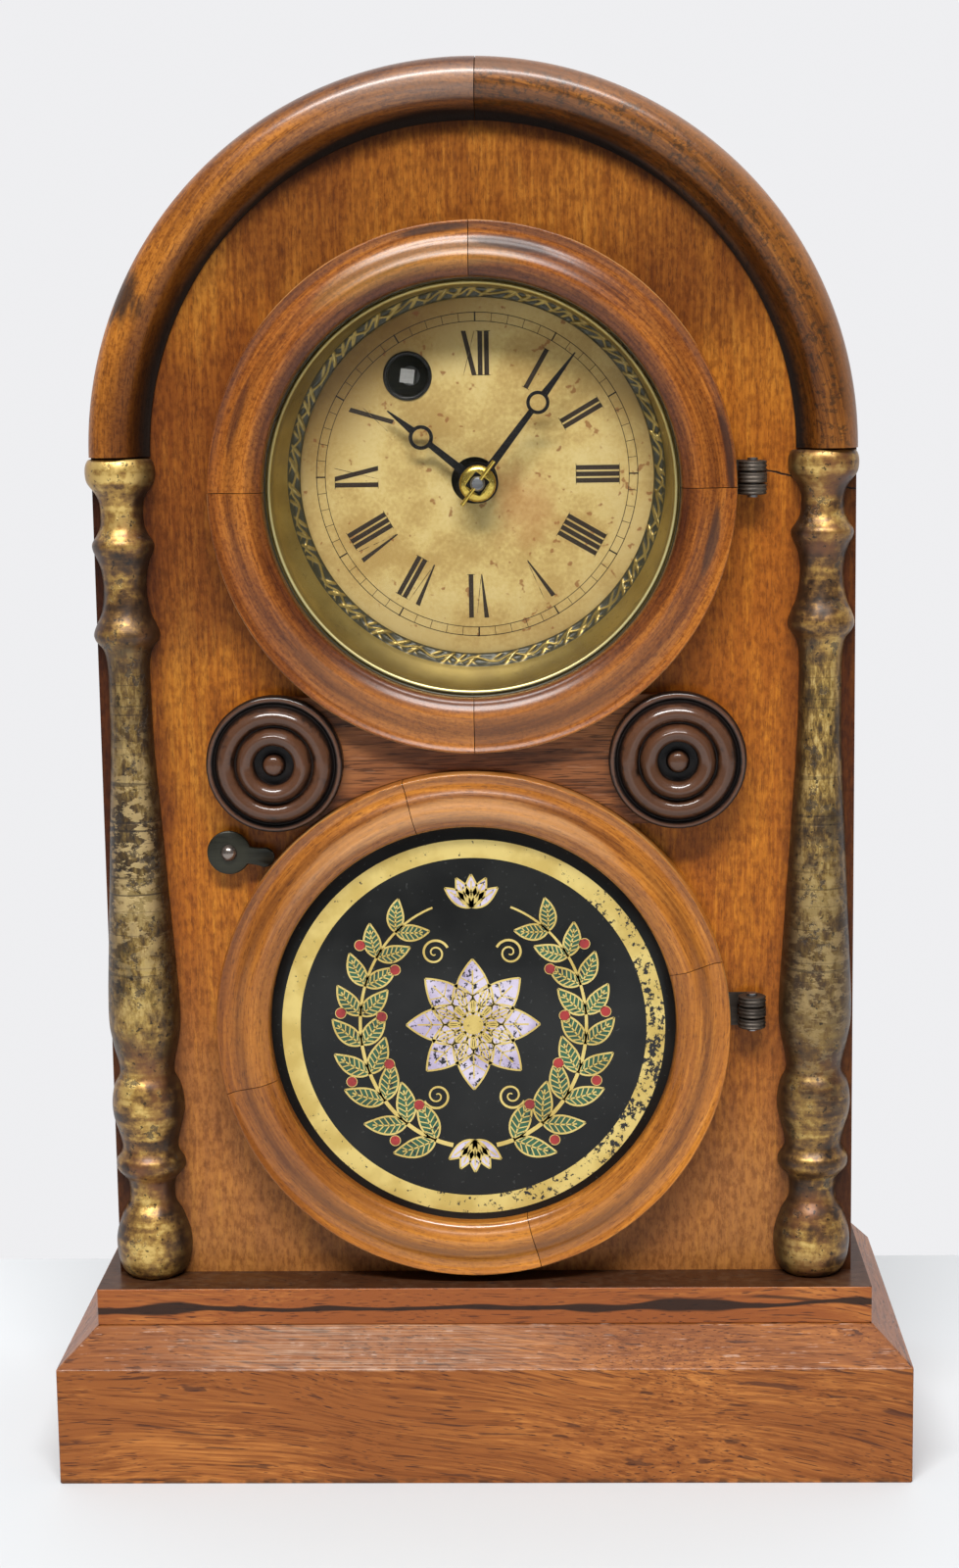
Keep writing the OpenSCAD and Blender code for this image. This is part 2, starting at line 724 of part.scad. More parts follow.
// Movement frame
module plate_outline() {
    intersection() {
        translate(centre_at + plate_lo)
            square([plate_hi[0] - plate_lo[0], plate_hi[1] - plate_lo[1]]);
        case_inside();
    }
}
module pillar_holes() {
    for (p = pillar_spots)
        translate(centre_at + p) circle(r = 1.55);
}
module front_plate() {
    color("Gold")
        union() {
            slab(y_front, y_front_in)
                difference() {
                    plate_outline();
                    pillar_holes();
                    for (s = screw_spots)
                        translate(centre_at + s) circle(r = 1.65);
                    translate(centre_at) circle(r = centre_r + run_gap);
                    translate(wind_at) circle(r = wind_r + run_gap);
                    translate(third_at) circle(r = pivot_r + run_gap);
                    translate(escape_at) circle(r = pivot_r + run_gap);
                    translate(verge_at) circle(r = arbor_r + run_gap);
                }
            bar(minute_at, 1, y_hour - 1.4, y_front + eps);
        }
}
module back_plate() {
    color("Gold")
        slab(y_rear_in, y_rear)
            difference() {
                translate(centre_at + plate_lo + [0, 8])
                    square([plate_hi[0] - plate_lo[0], plate_hi[1] - plate_lo[1] - 16]);
                pillar_holes();
                translate(centre_at) circle(r = pivot_r + run_gap);
                translate(wind_at) circle(r = 2 + run_gap);
                translate(third_at) circle(r = pivot_r + run_gap);
                translate(escape_at) circle(r = pivot_r + run_gap);
                translate(verge_at) circle(r = pivot_r + run_gap);
            }
}
module plate_pillars() {
    color("Silver")
        for (p = pillar_spots) {
            bar(centre_at + p, 1.5, y_front - 0.4, y_rear + 3);
            bar(centre_at + p, 3, y_front_in, y_rear_in);
        }
}
module pillar_nuts() {
    color("Silver")
        slab(y_rear, y_rear + 2.4)
            for (p = pillar_spots)
                translate(centre_at + p) difference() {
                    circle(r = 3.4, $fn = 6);
                    circle(r = 1.55);
                }
}
module movement_screws() {
    color("Silver")
        for (s = screw_spots) {
            bar(centre_at + s, 1.6, y_front - eps, y_front_in + 12);
            bar(centre_at + s, 3.2, y_front - 1.5, y_front);
        }
}

// Going barrel-less mainspring: a coiled strip from near the arbor to a pillar
spring_turns = 5;
spring_steps = 24 * spring_turns;
pillar_deg = line_deg(wind_at, centre_at + pillar_spots[1]);
pillar_reach = norm(centre_at + pillar_spots[1] - wind_at);
function spring_r(i) = let (u = i / spring_steps)
    u < 0.93 ? 6 + 21 * u / 0.93 : 27 + (pillar_reach - 3.5 - 27) * (u - 0.93) / 0.07;
function spring_point(i, off) = let (a = pillar_deg - 360 * (spring_steps - i) / 24)
    (spring_r(i) + off) * [cos(a), sin(a)];
module mainspring() {
    color("LightSlateGray")
        slab(y_spring, y_spring + spring_w)
            union() {
                translate(wind_at)
                    polygon(concat([for (i = [0:spring_steps]) spring_point(i, 0.25)],
                        [for (i = [spring_steps:-1:0]) spring_point(i, -0.25)]));
                translate(centre_at + pillar_spots[1]) difference() {
                    circle(r = 3.8, $fn = 12);
                    circle(r = 3.3, $fn = 12);
                }
            }
}
module suspension_post() {
    color("Gold")
        difference() {
            union() {
                bar(verge_at + [0, 7.5], 2, y_rod, y_front);
                translate([verge_at[0] - 2.5, y_rod - 2.5, verge_at[1] + 1]) cube([5, 4, 9]);
            }
            translate([verge_at[0] - 0.8, y_rod - 3, verge_at[1]]) cube([1.6, 5.6, 6.2]);
        }
}

// Great wheel, winding arbor, ratchet and click
module main_wheel() {
    color("Gold")
        union() {
            slab(y_main, y_main + main_t)
                translate(wind_at) difference() {
                    wheel2d(main_module, main_teeth, line_deg(wind_at, centre_at));
                    circle(r = wind_r + run_gap);
                    arms2d(0.8 * main_module * main_teeth / 2, 19.5, 45);
                }
            bar(wind_at + click_at, 1.2, y_main + main_t - eps, y_ratchet + ratchet_t + 0.3);
        }
}
module winding_arbor() {
    color("Silver") {
        bar(wind_at, wind_r, y_front - 0.4, y_rear_in - 0.4);
        bar(wind_at, 2, y_rear_in - 0.5, y_rear + 0.8);
        translate([wind_x, y_dial - 1.6, wind_z]) rotate([0, 8, 0])
            translate([-wind_square / 2, 0, -wind_square / 2])
                cube([wind_square, y_front - y_dial + 1.4, wind_square]);
    }
}
function ratchet_points() = [for (i = [0:ratchet_teeth - 1], k = [0, 1])
    let (a = 87 - 360 * i / ratchet_teeth, r = k == 0 ? ratchet_root : ratchet_r)
    r * [cos(a), sin(a)]];
module ratchet_wheel() {
    color("Gold")
        slab(y_ratchet, y_ratchet + ratchet_t)
            translate(wind_at) difference() {
                polygon(ratchet_points());
                circle(r = wind_r + 0.02);
            }
}
module main_click() {
    color("Silver")
        slab(y_ratchet, y_ratchet + ratchet_t)
            translate(wind_at) difference() {
                union() {
                    translate(click_at) circle(r = 2.4);
                    polygon([click_at + [0, 1.9], click_at + [0, -1.9], [-1, ratchet_r + 0.45],
                        [0.1, ratchet_r + 0.4], [0.1, ratchet_r + 1.3], [-2, ratchet_r + 2.6]]);
                }
                translate(click_at) circle(r = 1.2 + run_gap);
            }
}

// Centre arbor turns the hands; the pinion and wheel ride on it by friction
module centre_arbor() {
    color("Silver")
        difference() {
            union() {
                bar(centre_at, centre_r, y_front - 3, y_rear_in - 0.4);
                bar(centre_at, pivot_r, y_rear_in - 0.5, y_rear + 0.6);
                slab(y_minute - 0.3, y_front - 0.6)
                    translate(centre_at)
                        pinion2d(minute_module, cannon_leaves, line_deg(centre_at, minute_at));
                bar(centre_at, centre_front_r, y_minute_hand + hand_t, y_minute);
                translate([dial_x, y_tip + 1.6, dial_z]) rotate([0, 25, 0])
                    translate([-1.5, 0, -1.5]) cube([3, y_minute_hand + hand_t + 0.2 - y_tip - 1.6, 3]);
                bar(centre_at, 1.5, y_tip, y_tip + 1.7);
            }
            translate([dial_x, y_tip + 0.8, dial_z]) rotate([0, 37, 0])
                translate([0, 0, -4]) cylinder(r = 0.6, h = 8);
        }
}
module centre_pinion() {
    color("Silver")
        difference() {
            union() {
                slab(y_main - 0.6, y_main + main_t + 0.6)
                    translate(centre_at)
                        pinion2d(main_module, leaves, line_deg(centre_at, wind_at));
                bar(centre_at, 2.4, y_main + main_t + 0.5, y_centre + wheel_t + 0.3);
            }
            bar(centre_at, centre_r + run_gap, y_front, y_rear);
        }
}
module train_wheel(at, m, n, next, y, bore) {
    slab(y, y + wheel_t)
        translate(at) difference() {
            wheel2d(m, n, line_deg(at, next));
            circle(r = bore);
            arms2d(0.84 * m * n / 2, 0.3 * m * n / 2, 30);
        }
}
module centre_wheel() {
    color("Gold") train_wheel(centre_at, train_module, centre_teeth, third_at, y_centre, 2.42);
}
module arbor(at) {
    bar(at, arbor_r, y_front_in + 0.4, y_rear_in - 0.4);
    bar(at, pivot_r, y_front - 0.3, y_rear + 0.3);
}
module third_arbor() {
    color("Silver") {
        arbor(third_at);
        slab(y_centre - 1.4, y_centre + wheel_t + 1.2)
            translate(third_at) pinion2d(train_module, leaves, line_deg(third_at, centre_at));
    }
}
module third_wheel() {
    color("Gold") train_wheel(third_at, train_module, third_teeth, escape_at, y_third, arbor_r + 0.02);
}
module escape_arbor() {
    color("Silver") {
        arbor(escape_at);
        slab(y_third - 1.1, y_third + wheel_t + 1.1)
            translate(escape_at) pinion2d(train_module, leaves, line_deg(escape_at, third_at));
    }
}
module escape_wheel() {
    color("Gold")
        slab(y_escape, y_escape + escape_t)
            translate(escape_at) difference() {
                polygon([for (i = [0:escape_teeth - 1], k = [0, 1, 2])
                    let (a = 360 * (i + [0, 0.55, 0.7][k]) / escape_teeth,
                        r = escape_r * [0.88, 0.98, 1][k])
                    r * [cos(a), sin(a)]]);
                circle(r = arbor_r + 0.02);
                arms2d(0.76 * escape_r, 0.36 * escape_r, 0);
            }
}

// Motion work and hands
module minute_wheel() {
    color("Gold")
        difference() {
            union() {
                slab(y_minute, y_minute + wheel_t)
                    translate(minute_at)
                        wheel2d(minute_module, minute_teeth, line_deg(minute_at, centre_at));
                bar(minute_at, 1.7, y_hour - 0.4, y_minute + wheel_t + 0.6);
                slab(y_hour - 0.4, y_hour + wheel_t + 0.6)
                    translate(minute_at)
                        pinion2d(hour_module, minute_leaves, line_deg(minute_at, centre_at));
            }
            bar(minute_at, 1 + run_gap, y_hour - 4, y_front);
        }
}
module hour_wheel() {
    color("Gold")
        difference() {
            union() {
                slab(y_hour, y_hour + wheel_t)
                    translate(centre_at)
                        wheel2d(hour_module, hour_teeth, line_deg(centre_at, minute_at));
                bar(centre_at, hour_pipe_r, y_hour_hand - 0.3, y_hour + eps);
            }
            bar(centre_at, centre_front_r + run_gap, y_hour_hand - 2, y_hour + 4);
        }
}
// A slim hand with a pierced round and a pointed end
module hand2d(length, round_at, round_r, hub_r) {
    circle(r = hub_r);
    difference() {
        union() {
            polygon([[-1.3, 0], [1.3, 0], [0.8, round_at], [-0.8, round_at]]);
            translate([0, round_at]) circle(r = round_r);
            polygon([[-1.1, round_at + round_r - 0.6], [1.1, round_at + round_r - 0.6], [0.2, length],
                [-0.2, length]]);
        }
        translate([0, round_at]) circle(r = 0.7 * round_r);
    }
}
module hour_hand() {
    color("Black")
        difference() {
            slab(y_hour_hand, y_hour_hand + hand_t)
                translate(centre_at) rotate(-hour_deg) hand2d(hour_len, 0.63 * hour_len, 3.5, 5.8);
            bar(centre_at, hour_pipe_r + 0.02, y_hour_hand - 2, y_hour_hand + 2);
        }
}
module minute_hand() {
    color("Black")
        slab(y_minute_hand, y_minute_hand + hand_t)
            translate(centre_at) difference() {
                rotate(-minute_deg) hand2d(minute_len, 0.62 * minute_len, 3.3, 3.9);
                rotate(-25) square([3.04, 3.04], center = true);
            }
}
module hand_washer() {
    color("Goldenrod")
        difference() {
            turned(centre_at, y_minute_hand)
                polygon([[0, 0], [5.2, 0], [5.3, 0.3], [4.2, 0.9], [2.6, 1.1], [0, 1.1]]);
            translate([dial_x, y_panel - 10, dial_z]) rotate([0, 25, 0])
                translate([-1.6, 0, -1.6]) cube([3.2, 20, 3.2]);
        }
}
module hand_pin() {
    color("Goldenrod")
        translate([dial_x, y_tip + 0.8, dial_z]) rotate([0, 37, 0])
            translate([0, 0, -7.6]) cylinder(r = 0.55, h = 15.6);
}

// Escapement and pendulum: both swing about the line through the verge arbor
module verge() {
    color("Silver") {
        bar(verge_at, arbor_r, y_front - 3.4, y_rear_in - 0.4);
        bar(verge_at, pivot_r, y_rear_in - 0.5, y_rear + 0.3);
        slab(y_escape - 0.4, y_escape + escape_t + 0.4)
            translate(verge_at) {
                circle(r = 2.6);
                for (s = [0, 1])
                    mirror([s, 0])
                        polygon([[0, -1.6], [9.4, 1.2], [10.4, 5.4], [9.2, 5.4], [8.4, 2.4], [0, 1.2]]);
            }
    }
}
module crutch() {
    color("Goldenrod")
        difference() {
            union() {
                bar(verge_at, 2.4, y_front - 3.4, y_front - 2.4);
                translate([verge_at[0] - 0.8, y_front - 3.4, verge_at[1] - 27]) cube([1.6, 1, 27]);
                translate([verge_at[0] - 2.1, y_front - 3.4, verge_at[1] - 27]) cube([4.2, 1, 1.6]);
                for (s = [-2.1, 1.2])
                    translate([verge_at[0] + s, y_rod - 2, verge_at[1] - 27])
                        cube([0.9, y_front - 2.4 - y_rod + 2, 1.6]);
            }
            bar(verge_at, arbor_r + 0.02, y_front - 4, y_front);
        }
}
module suspension_spring() {
    color("LightSlateGray")
        translate([verge_at[0] - 0.12, y_rod - 1.5, verge_at[1] - 6]) cube([0.24, 3, 10.4]);
}
module pendulum_rod() {
    color("Silver") {
        translate([verge_at[0], y_rod, verge_at[1] - 12]) cylinder(r = 1.6, h = 6);
        translate([verge_at[0], y_rod, verge_at[1] - pendulum_len - bob_r - 6])
            cylinder(r = rod_r, h = pendulum_len + bob_r - 5);
    }
}
bob_t = 8;
bob_steps = 8;
function bob_side(s) = [for (i = [0:bob_steps - 1])
    let (u = i / bob_steps) [bob_r * u, s * bob_t / 2 * (1 - u * u)]];
module pendulum_bob() {
    back_side = bob_side(-1);
    front_side = bob_side(1);
    color("Goldenrod")
        difference() {
            turned(verge_at - [0, pendulum_len], y_rod)
                polygon(concat(back_side, [[bob_r, -0.4], [bob_r, 0.4]],
                    [for (i = [bob_steps - 1:-1:0]) front_side[i]]));
            translate([verge_at[0], y_rod, verge_at[1] - pendulum_len - 30])
                cylinder(r = rod_r + 0.1, h = 60);
        }
}
module rating_nut() {
    color("Gold")
        translate([verge_at[0], y_rod, verge_at[1] - pendulum_len - bob_r - 3.4])
            difference() {
                cylinder(r = 3, h = 3);
                translate([0, 0, -1]) cylinder(r = rod_r + 0.02, h = 6);
            }
}

base_front_rail();
base_side_rails();
base_back_rail();
plinth_board();
case_sides();
case_arch();
front_panel();
back_board();
back_board_screws();
arch_moulding_left();
arch_moulding_right();
column_left();
column_right();
movement_rails();
case_hinge_leaves();
dial_plate();
dial_pins();
winding_eyelet();
front_plate();
back_plate();
plate_pillars();
pillar_nuts();
movement_screws();
mainspring();
suspension_post();
upper_ring_segments();
lower_ring_segments();
door_rail();
rosettes();
upper_glass();
sight_ring();
tablet_glass();
tablet_retainer();
door_hinge_leaves();
hinge_pins();
latch_button();
latch_pivot();
main_wheel();
winding_arbor();
ratchet_wheel();
main_click();
centre_arbor();
centre_pinion();
centre_wheel();
third_arbor();
third_wheel();
escape_arbor();
escape_wheel();
minute_hand();
hand_washer();
hand_pin();
minute_wheel();
hour_wheel();
hour_hand();
verge();
crutch();
suspension_spring();
pendulum_rod();
pendulum_bob();
rating_nut();
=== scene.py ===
import json
import math
import bmesh
import bpy
import numpy as np
from mathutils import Matrix, Vector

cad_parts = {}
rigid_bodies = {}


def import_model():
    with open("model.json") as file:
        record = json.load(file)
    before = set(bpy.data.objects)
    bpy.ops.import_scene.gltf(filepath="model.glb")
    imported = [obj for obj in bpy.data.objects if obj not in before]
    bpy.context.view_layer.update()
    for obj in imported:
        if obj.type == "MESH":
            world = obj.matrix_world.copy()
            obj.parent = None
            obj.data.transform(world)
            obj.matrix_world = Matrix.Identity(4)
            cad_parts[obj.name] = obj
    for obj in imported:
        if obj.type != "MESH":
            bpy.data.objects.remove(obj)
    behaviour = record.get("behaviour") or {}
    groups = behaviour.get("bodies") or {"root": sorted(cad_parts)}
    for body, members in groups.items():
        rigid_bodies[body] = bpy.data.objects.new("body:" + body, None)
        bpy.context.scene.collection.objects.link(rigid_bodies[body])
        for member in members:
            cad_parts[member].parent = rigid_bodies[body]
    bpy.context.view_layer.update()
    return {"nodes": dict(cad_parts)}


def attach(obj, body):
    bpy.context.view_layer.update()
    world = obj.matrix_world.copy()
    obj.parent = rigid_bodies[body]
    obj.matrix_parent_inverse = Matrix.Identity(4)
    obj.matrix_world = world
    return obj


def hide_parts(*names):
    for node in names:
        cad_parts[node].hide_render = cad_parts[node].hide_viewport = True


for old in list(bpy.data.objects):
    bpy.data.objects.remove(old)
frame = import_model()
nodes = frame["nodes"]
scene = bpy.context.scene
scene.view_settings.view_transform = "Standard"
mm = 0.001
# places that several finishes share, in metres
archCentre = 0.298
panelFace = -0.0325
dialX, dialZ = 0.0011, 0.2911
print("frame loaded:", len(nodes), "nodes")


# mesh tools: every surface is a grid of points worked out at once, in millimetres

def gridFaces(rows, cols, loopRows=False, loopCols=False):
    # quads between neighbouring points of a rows x cols grid, joined round where a direction loops
    r = np.arange(rows if loopRows else rows - 1)
    c = np.arange(cols if loopCols else cols - 1)
    r, c = np.meshgrid(r, c, indexing="ij")
    rn = (r + 1) % rows
    cn = (c + 1) % cols
    return np.stack([r * cols + c, rn * cols + c, rn * cols + cn, r * cols + cn], -1).reshape(-1, 4)


def shellOf(grid, loopRows=False, loopCols=False, capEnds=False, marks=None):
    # a grid of points (rows, cols, 3) with its quads, and with flat caps on its first and last row if asked
    rows, cols = grid.shape[:2]
    caps = []
    if capEnds:
        caps = [list(range(cols)), list(range((rows - 1) * cols, rows * cols))]
    flat = {}
    for mark, values in (marks or {}).items():
        flat[mark] = values.reshape(rows * cols, -1)
    return {"points": grid.reshape(-1, 3), "quads": gridFaces(rows, cols, loopRows, loopCols),
            "caps": caps, "marks": flat}


def smoothLine(points, perSpan=6):
    # a curve through the points: in each span the four nearest points are blended three times over,
    # with knots a square root of a chord apart, so that it neither loops nor overshoots
    p = np.asarray(points, float)
    p = np.vstack([2 * p[0] - p[1], p, 2 * p[-1] - p[-2]])
    knots = np.concatenate([[0], np.cumsum(np.sqrt(np.linalg.norm(np.diff(p, axis=0), axis=1)))])
    share = np.linspace(0, 1, perSpan, endpoint=False)[None, :, None]
    p0, p1, p2, p3 = (p[i:len(p) - 3 + i, None, :] for i in range(4))
    k0, k1, k2, k3 = (knots[i:len(p) - 3 + i, None, None] for i in range(4))
    t = k1 + share * (k2 - k1)
    a1 = (k1 - t) / (k1 - k0) * p0 + (t - k0) / (k1 - k0) * p1
    a2 = (k2 - t) / (k2 - k1) * p1 + (t - k1) / (k2 - k1) * p2
    a3 = (k3 - t) / (k3 - k2) * p2 + (t - k2) / (k3 - k2) * p3
    b1 = (k2 - t) / (k2 - k0) * a1 + (t - k0) / (k2 - k0) * a2
    b2 = (k3 - t) / (k3 - k1) * a2 + (t - k1) / (k3 - k1) * a3
    line = (k2 - t) / (k2 - k1) * b1 + (t - k1) / (k2 - k1) * b2
    return np.vstack([line.reshape(-1, p.shape[1]), p[-2]])


def turnedGrid(profile, centre, degrees):
    # (radius, depth) pairs carried round a front-to-back axis: x = cx + r cos a, y = depth, z = cz + r sin a
    a = np.radians(degrees)[:, None]
    r = profile[None, :, 0]
    y = np.broadcast_to(profile[None, :, 1], (len(degrees), len(profile)))
    return np.stack([centre[0] + r * np.cos(a), y, centre[1] + r * np.sin(a)], -1)


def turnedShell(profile, centre, steps, loopCols=False, marks=None):
    # a full turning; each mark is one number for each point of the profile
    grid = turnedGrid(profile, centre, np.linspace(0, 360, steps, endpoint=False))
    spread = {}
    for mark, line in (marks or {}).items():
        spread[mark] = np.broadcast_to(line[None, :, None], (*grid.shape[:2], 1))
    return shellOf(grid, loopRows=True, loopCols=loopCols, marks=spread)


def ribbon(path, width, depth):
    # a flat strip that follows a path of (x, z) points: each point moved half a width to both sides
    path = np.asarray(path, float)
    run = np.gradient(path, axis=0)
    run /= np.linalg.norm(run, axis=1)[:, None] + 1e-12
    side = np.stack([-run[:, 1], run[:, 0]], -1) * (np.broadcast_to(width, len(path)) / 2)[:, None]
    edge = np.stack([path - side, path + side], 1)
    return shellOf(np.stack([edge[..., 0], np.full(edge.shape[:2], depth), edge[..., 1]], -1))


def makePiece(name, shells, finish, body, stands=(), solid=True, corner=38):
    # joins the shells into one mesh, closes its seams and poles, and sets it on its body
    points = np.vstack([s["points"] for s in shells])
    starts = np.cumsum([0] + [len(s["points"]) for s in shells])
    faces = []
    for shell, start in zip(shells, starts):
        faces += (shell["quads"] + start).tolist()
        faces += [[i + int(start) for i in cap] for cap in shell["caps"]]
    mesh = bpy.data.meshes.new(name)
    mesh.from_pydata((points * mm).tolist(), [], faces)
    for mark in shells[0]["marks"]:
        values = np.concatenate([s["marks"][mark] for s in shells]).astype(np.float32)
        vector = values.shape[1] == 3
        layer = mesh.attributes.new(mark, "FLOAT_VECTOR" if vector else "FLOAT", "POINT")
        layer.data.foreach_set("vector" if vector else "value", values.ravel())
    work = bmesh.new()
    work.from_mesh(mesh)
    bmesh.ops.remove_doubles(work, verts=work.verts, dist=2e-6)
    if solid:
        bmesh.ops.recalc_face_normals(work, faces=work.faces)
    work.to_mesh(mesh)
    work.free()
    mesh.polygons.foreach_set("use_smooth", np.ones(len(mesh.polygons), bool))
    mesh.set_sharp_from_angle(angle=math.radians(corner))
    mesh.materials.append(finish)
    piece = bpy.data.objects.new(name, mesh)
    scene.collection.objects.link(piece)
    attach(piece, body)
    if stands:
        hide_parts(*stands)
    return piece


# shader tools

class Sock:
    # an output socket: sums, products and the like of values each add a Math node
    def __init__(self, finish, socket):
        self.finish = finish
        self.socket = socket

    def calc(self, operation, *terms):
        return self.finish.node("ShaderNodeMath", {"operation": operation}, dict(enumerate(terms)))

    def __add__(self, other):
        return self.calc("ADD", self, other)

    def __radd__(self, other):
        return self.calc("ADD", other, self)

    def __sub__(self, other):
        return self.calc("SUBTRACT", self, other)

    def __rsub__(self, other):
        return self.calc("SUBTRACT", other, self)

    def __mul__(self, other):
        return self.calc("MULTIPLY", self, other)

    def __rmul__(self, other):
        return self.calc("MULTIPLY", other, self)

    def __truediv__(self, other):
        return self.calc("DIVIDE", self, other)

    def __pow__(self, other):
        return self.calc("POWER", self, other)

    def __abs__(self):
        return self.calc("ABSOLUTE", self)

    def most(self, other):
        return self.calc("MAXIMUM", self, other)

    def least(self, other):
        return self.calc("MINIMUM", self, other)

    def step(self, low, high):
        # 0 below low, 1 above high, smooth between
        return self.finish.node("ShaderNodeMapRange", {"interpolation_type": "SMOOTHSTEP"},
                                {0: self, 1: low, 2: high})

    def part(self, axis):
        # one number of a vector
        return self.finish.node("ShaderNodeSeparateXYZ", {}, {0: self}, "XYZ".index(axis))


def tint(r, g, b):
    # a screen colour, 0 to 255, as the linear colour that a shader takes
    c = np.array([r, g, b]) / 255
    linear = np.where(c <= 0.04045, c / 12.92, ((c + 0.055) / 1.055) ** 2.4)
    return (*linear.tolist(), 1.0)


class Finish:
    # a material under work: its colour, roughness and relief are set as sockets, then joined up by done()
    def __init__(self, name, fixed=None):
        self.mat = bpy.data.materials.new(name)
        self.mat.use_nodes = True
        self.tree = self.mat.node_tree
        self.tree.nodes.clear()
        self.shader = self.tree.nodes.new("ShaderNodeBsdfPrincipled")
        output = self.tree.nodes.new("ShaderNodeOutputMaterial")
        self.tree.links.new(self.shader.outputs[0], output.inputs[0])
        for socket, value in (fixed or {}).items():
            self.shader.inputs[socket].default_value = value
        self.colour = None

    def node(self, kind, settings=None, inputs=None, output=0):
        made = self.tree.nodes.new(kind)
        for key, value in (settings or {}).items():
            if key == "stops":
                while len(made.color_ramp.elements) < len(value):
                    made.color_ramp.elements.new(1.0)
                for element, (place, colour) in zip(made.color_ramp.elements, value):
                    element.position = place
                    element.color = colour
            else:
                setattr(made, key, value)
        for key, value in (inputs or {}).items():
            if isinstance(value, Sock):
                self.tree.links.new(value.socket, made.inputs[key])
            else:
                made.inputs[key].default_value = value
        return Sock(self, made.outputs[output])

    def place(self):
        return self.node("ShaderNodeTexCoord", {}, {}, "Object")

    def mark(self, name, output="Fac"):
        return self.node("ShaderNodeAttribute", {"attribute_name": name}, {}, output)

    def moved(self, where, scale=(1, 1, 1), turn=(0, 0, 0), shift=(0, 0, 0)):
        return self.node("ShaderNodeMapping", {}, {"Vector": where, "Location": shift, "Rotation": turn,
                                                   "Scale": scale})

    def vector(self, operation, a, b):
        return self.node("ShaderNodeVectorMath", {"operation": operation}, {0: a, 1: b})

    def distance(self, where, point):
        return self.node("ShaderNodeVectorMath", {"operation": "DISTANCE"}, {0: where, 1: point}, "Value")

    def noise(self, where, scale, detail=2.0, rough=0.5, output=0):
        # scale is in waves a metre along each axis
        spread = scale if isinstance(scale, tuple) else (scale, scale, scale)
        return self.node("ShaderNodeTexNoise", {}, {"Vector": self.moved(where, spread), "Scale": 1.0,
                                                    "Detail": detail, "Roughness": rough}, output)

    def ramp(self, value, stops):
        return self.node("ShaderNodeValToRGB", {"stops": stops}, {0: value})

    def blend(self, share, under, over, mode="MIX"):
        return self.node("ShaderNodeMix", {"data_type": "RGBA", "blend_type": mode},
                         {0: share, 6: under, 7: over}, 2)

    def paint(self, share, over, mode="MIX"):
        # lays a screen colour or a socket over what is there
        layer = over if isinstance(over, Sock) else tint(*over)
        self.colour = self.blend(share, self.colour, layer, mode)

    def stain(self, share, over):
        # darkens what is there, as a thin wash does
        self.paint(share, over, "MULTIPLY")

    def feed(self, socket, value):
        self.tree.links.new(value.socket, self.shader.inputs[socket])

    def done(self, rough=None, metal=None, height=None, alpha=None):
        # height is in metres
        self.feed("Base Color", self.colour)
        if rough is not None:
            self.feed("Roughness", rough)
        if metal is not None:
            self.feed("Metallic", metal)
        if alpha is not None:
            self.feed("Alpha", alpha)
        if height is not None:
            self.feed("Normal", self.node("ShaderNodeBump", {}, {"Strength": 1.0, "Distance": 1.0,
                                                                 "Height": height}))
        return self.mat


def alongX(f):
    return f.place()


def alongSlant(f):
    return f.moved(f.place(), turn=(0, -0.15, 0))


def alongY(f):
    return f.moved(f.place(), turn=(0, 0, -math.pi / 2))


def alongZ(f):
    return f.moved(f.place(), turn=(0, math.pi / 2, 0))


def alongMark(f):
    return f.mark("grain", "Vector")


def alongArch(f):
    # round the arch: angle times radius, then radius, then depth
    x = f.place().part("X")
    y = f.place().part("Y")
    z = f.place().part("Z") - archCentre
    turn = x.calc("ARCTAN2", x, z) * 0.104
    reach = (x * x + z * z) ** 0.5
    return f.node("ShaderNodeCombineXYZ", {}, {0: turn, 1: reach, 2: y})


def woodBody(name, look, grain):
    # varnished wood: slow blotches, growth bands, fine fibres and dark pores, all drawn out along the grain
    f = Finish(name, {"Coat Weight": look["coat"], "Coat Roughness": look["coatRough"],
                      "Specular IOR Level": look["spec"]})
    g = grain(f)
    sway = f.vector("SUBTRACT", f.noise(g, (5.0, 16.0, 16.0), 2, 0.5, 1), (0.5, 0.5, 0.5))
    bent = f.vector("ADD", g, f.vector("MULTIPLY", sway, (0.0, look["sway"], look["sway"])))
    blotch = f.noise(bent, (14.0, 44.0, 44.0), 3)
    bands = f.noise(bent, (4.0, look["bands"], look["bands"]), 2)
    fibre = f.noise(bent, (45.0, 1000.0, 1000.0), 4, 0.62)
    pore = f.noise(bent, (look["poreAlong"], 2400.0, 2400.0), 1)
    pore = pore.step(look["poreFrom"], look["poreFrom"] + 0.07)
    tone = blotch * look["blotch"] + bands * look["band"] + fibre * look["fibre"]
    shades = [(place, tint(*look[key])) for place, key in ((0.0, "dark"), (0.5, "mid"), (1.0, "light"))]
    f.colour = f.ramp(tone.step(look["low"], look["high"]), shades)
    f.paint(pore * look["pore"], look["poreTint"])
    rough = look["rough"] + fibre * 0.16 - 0.08 + pore * 0.1
    height = fibre * look["fibreDeep"] - pore * look["poreDeep"]
    if look["peel"]:
        height = height + f.noise(g, look["peelScale"], 3, 0.6) * look["peel"]
    f.bent = bent
    return f, rough, height


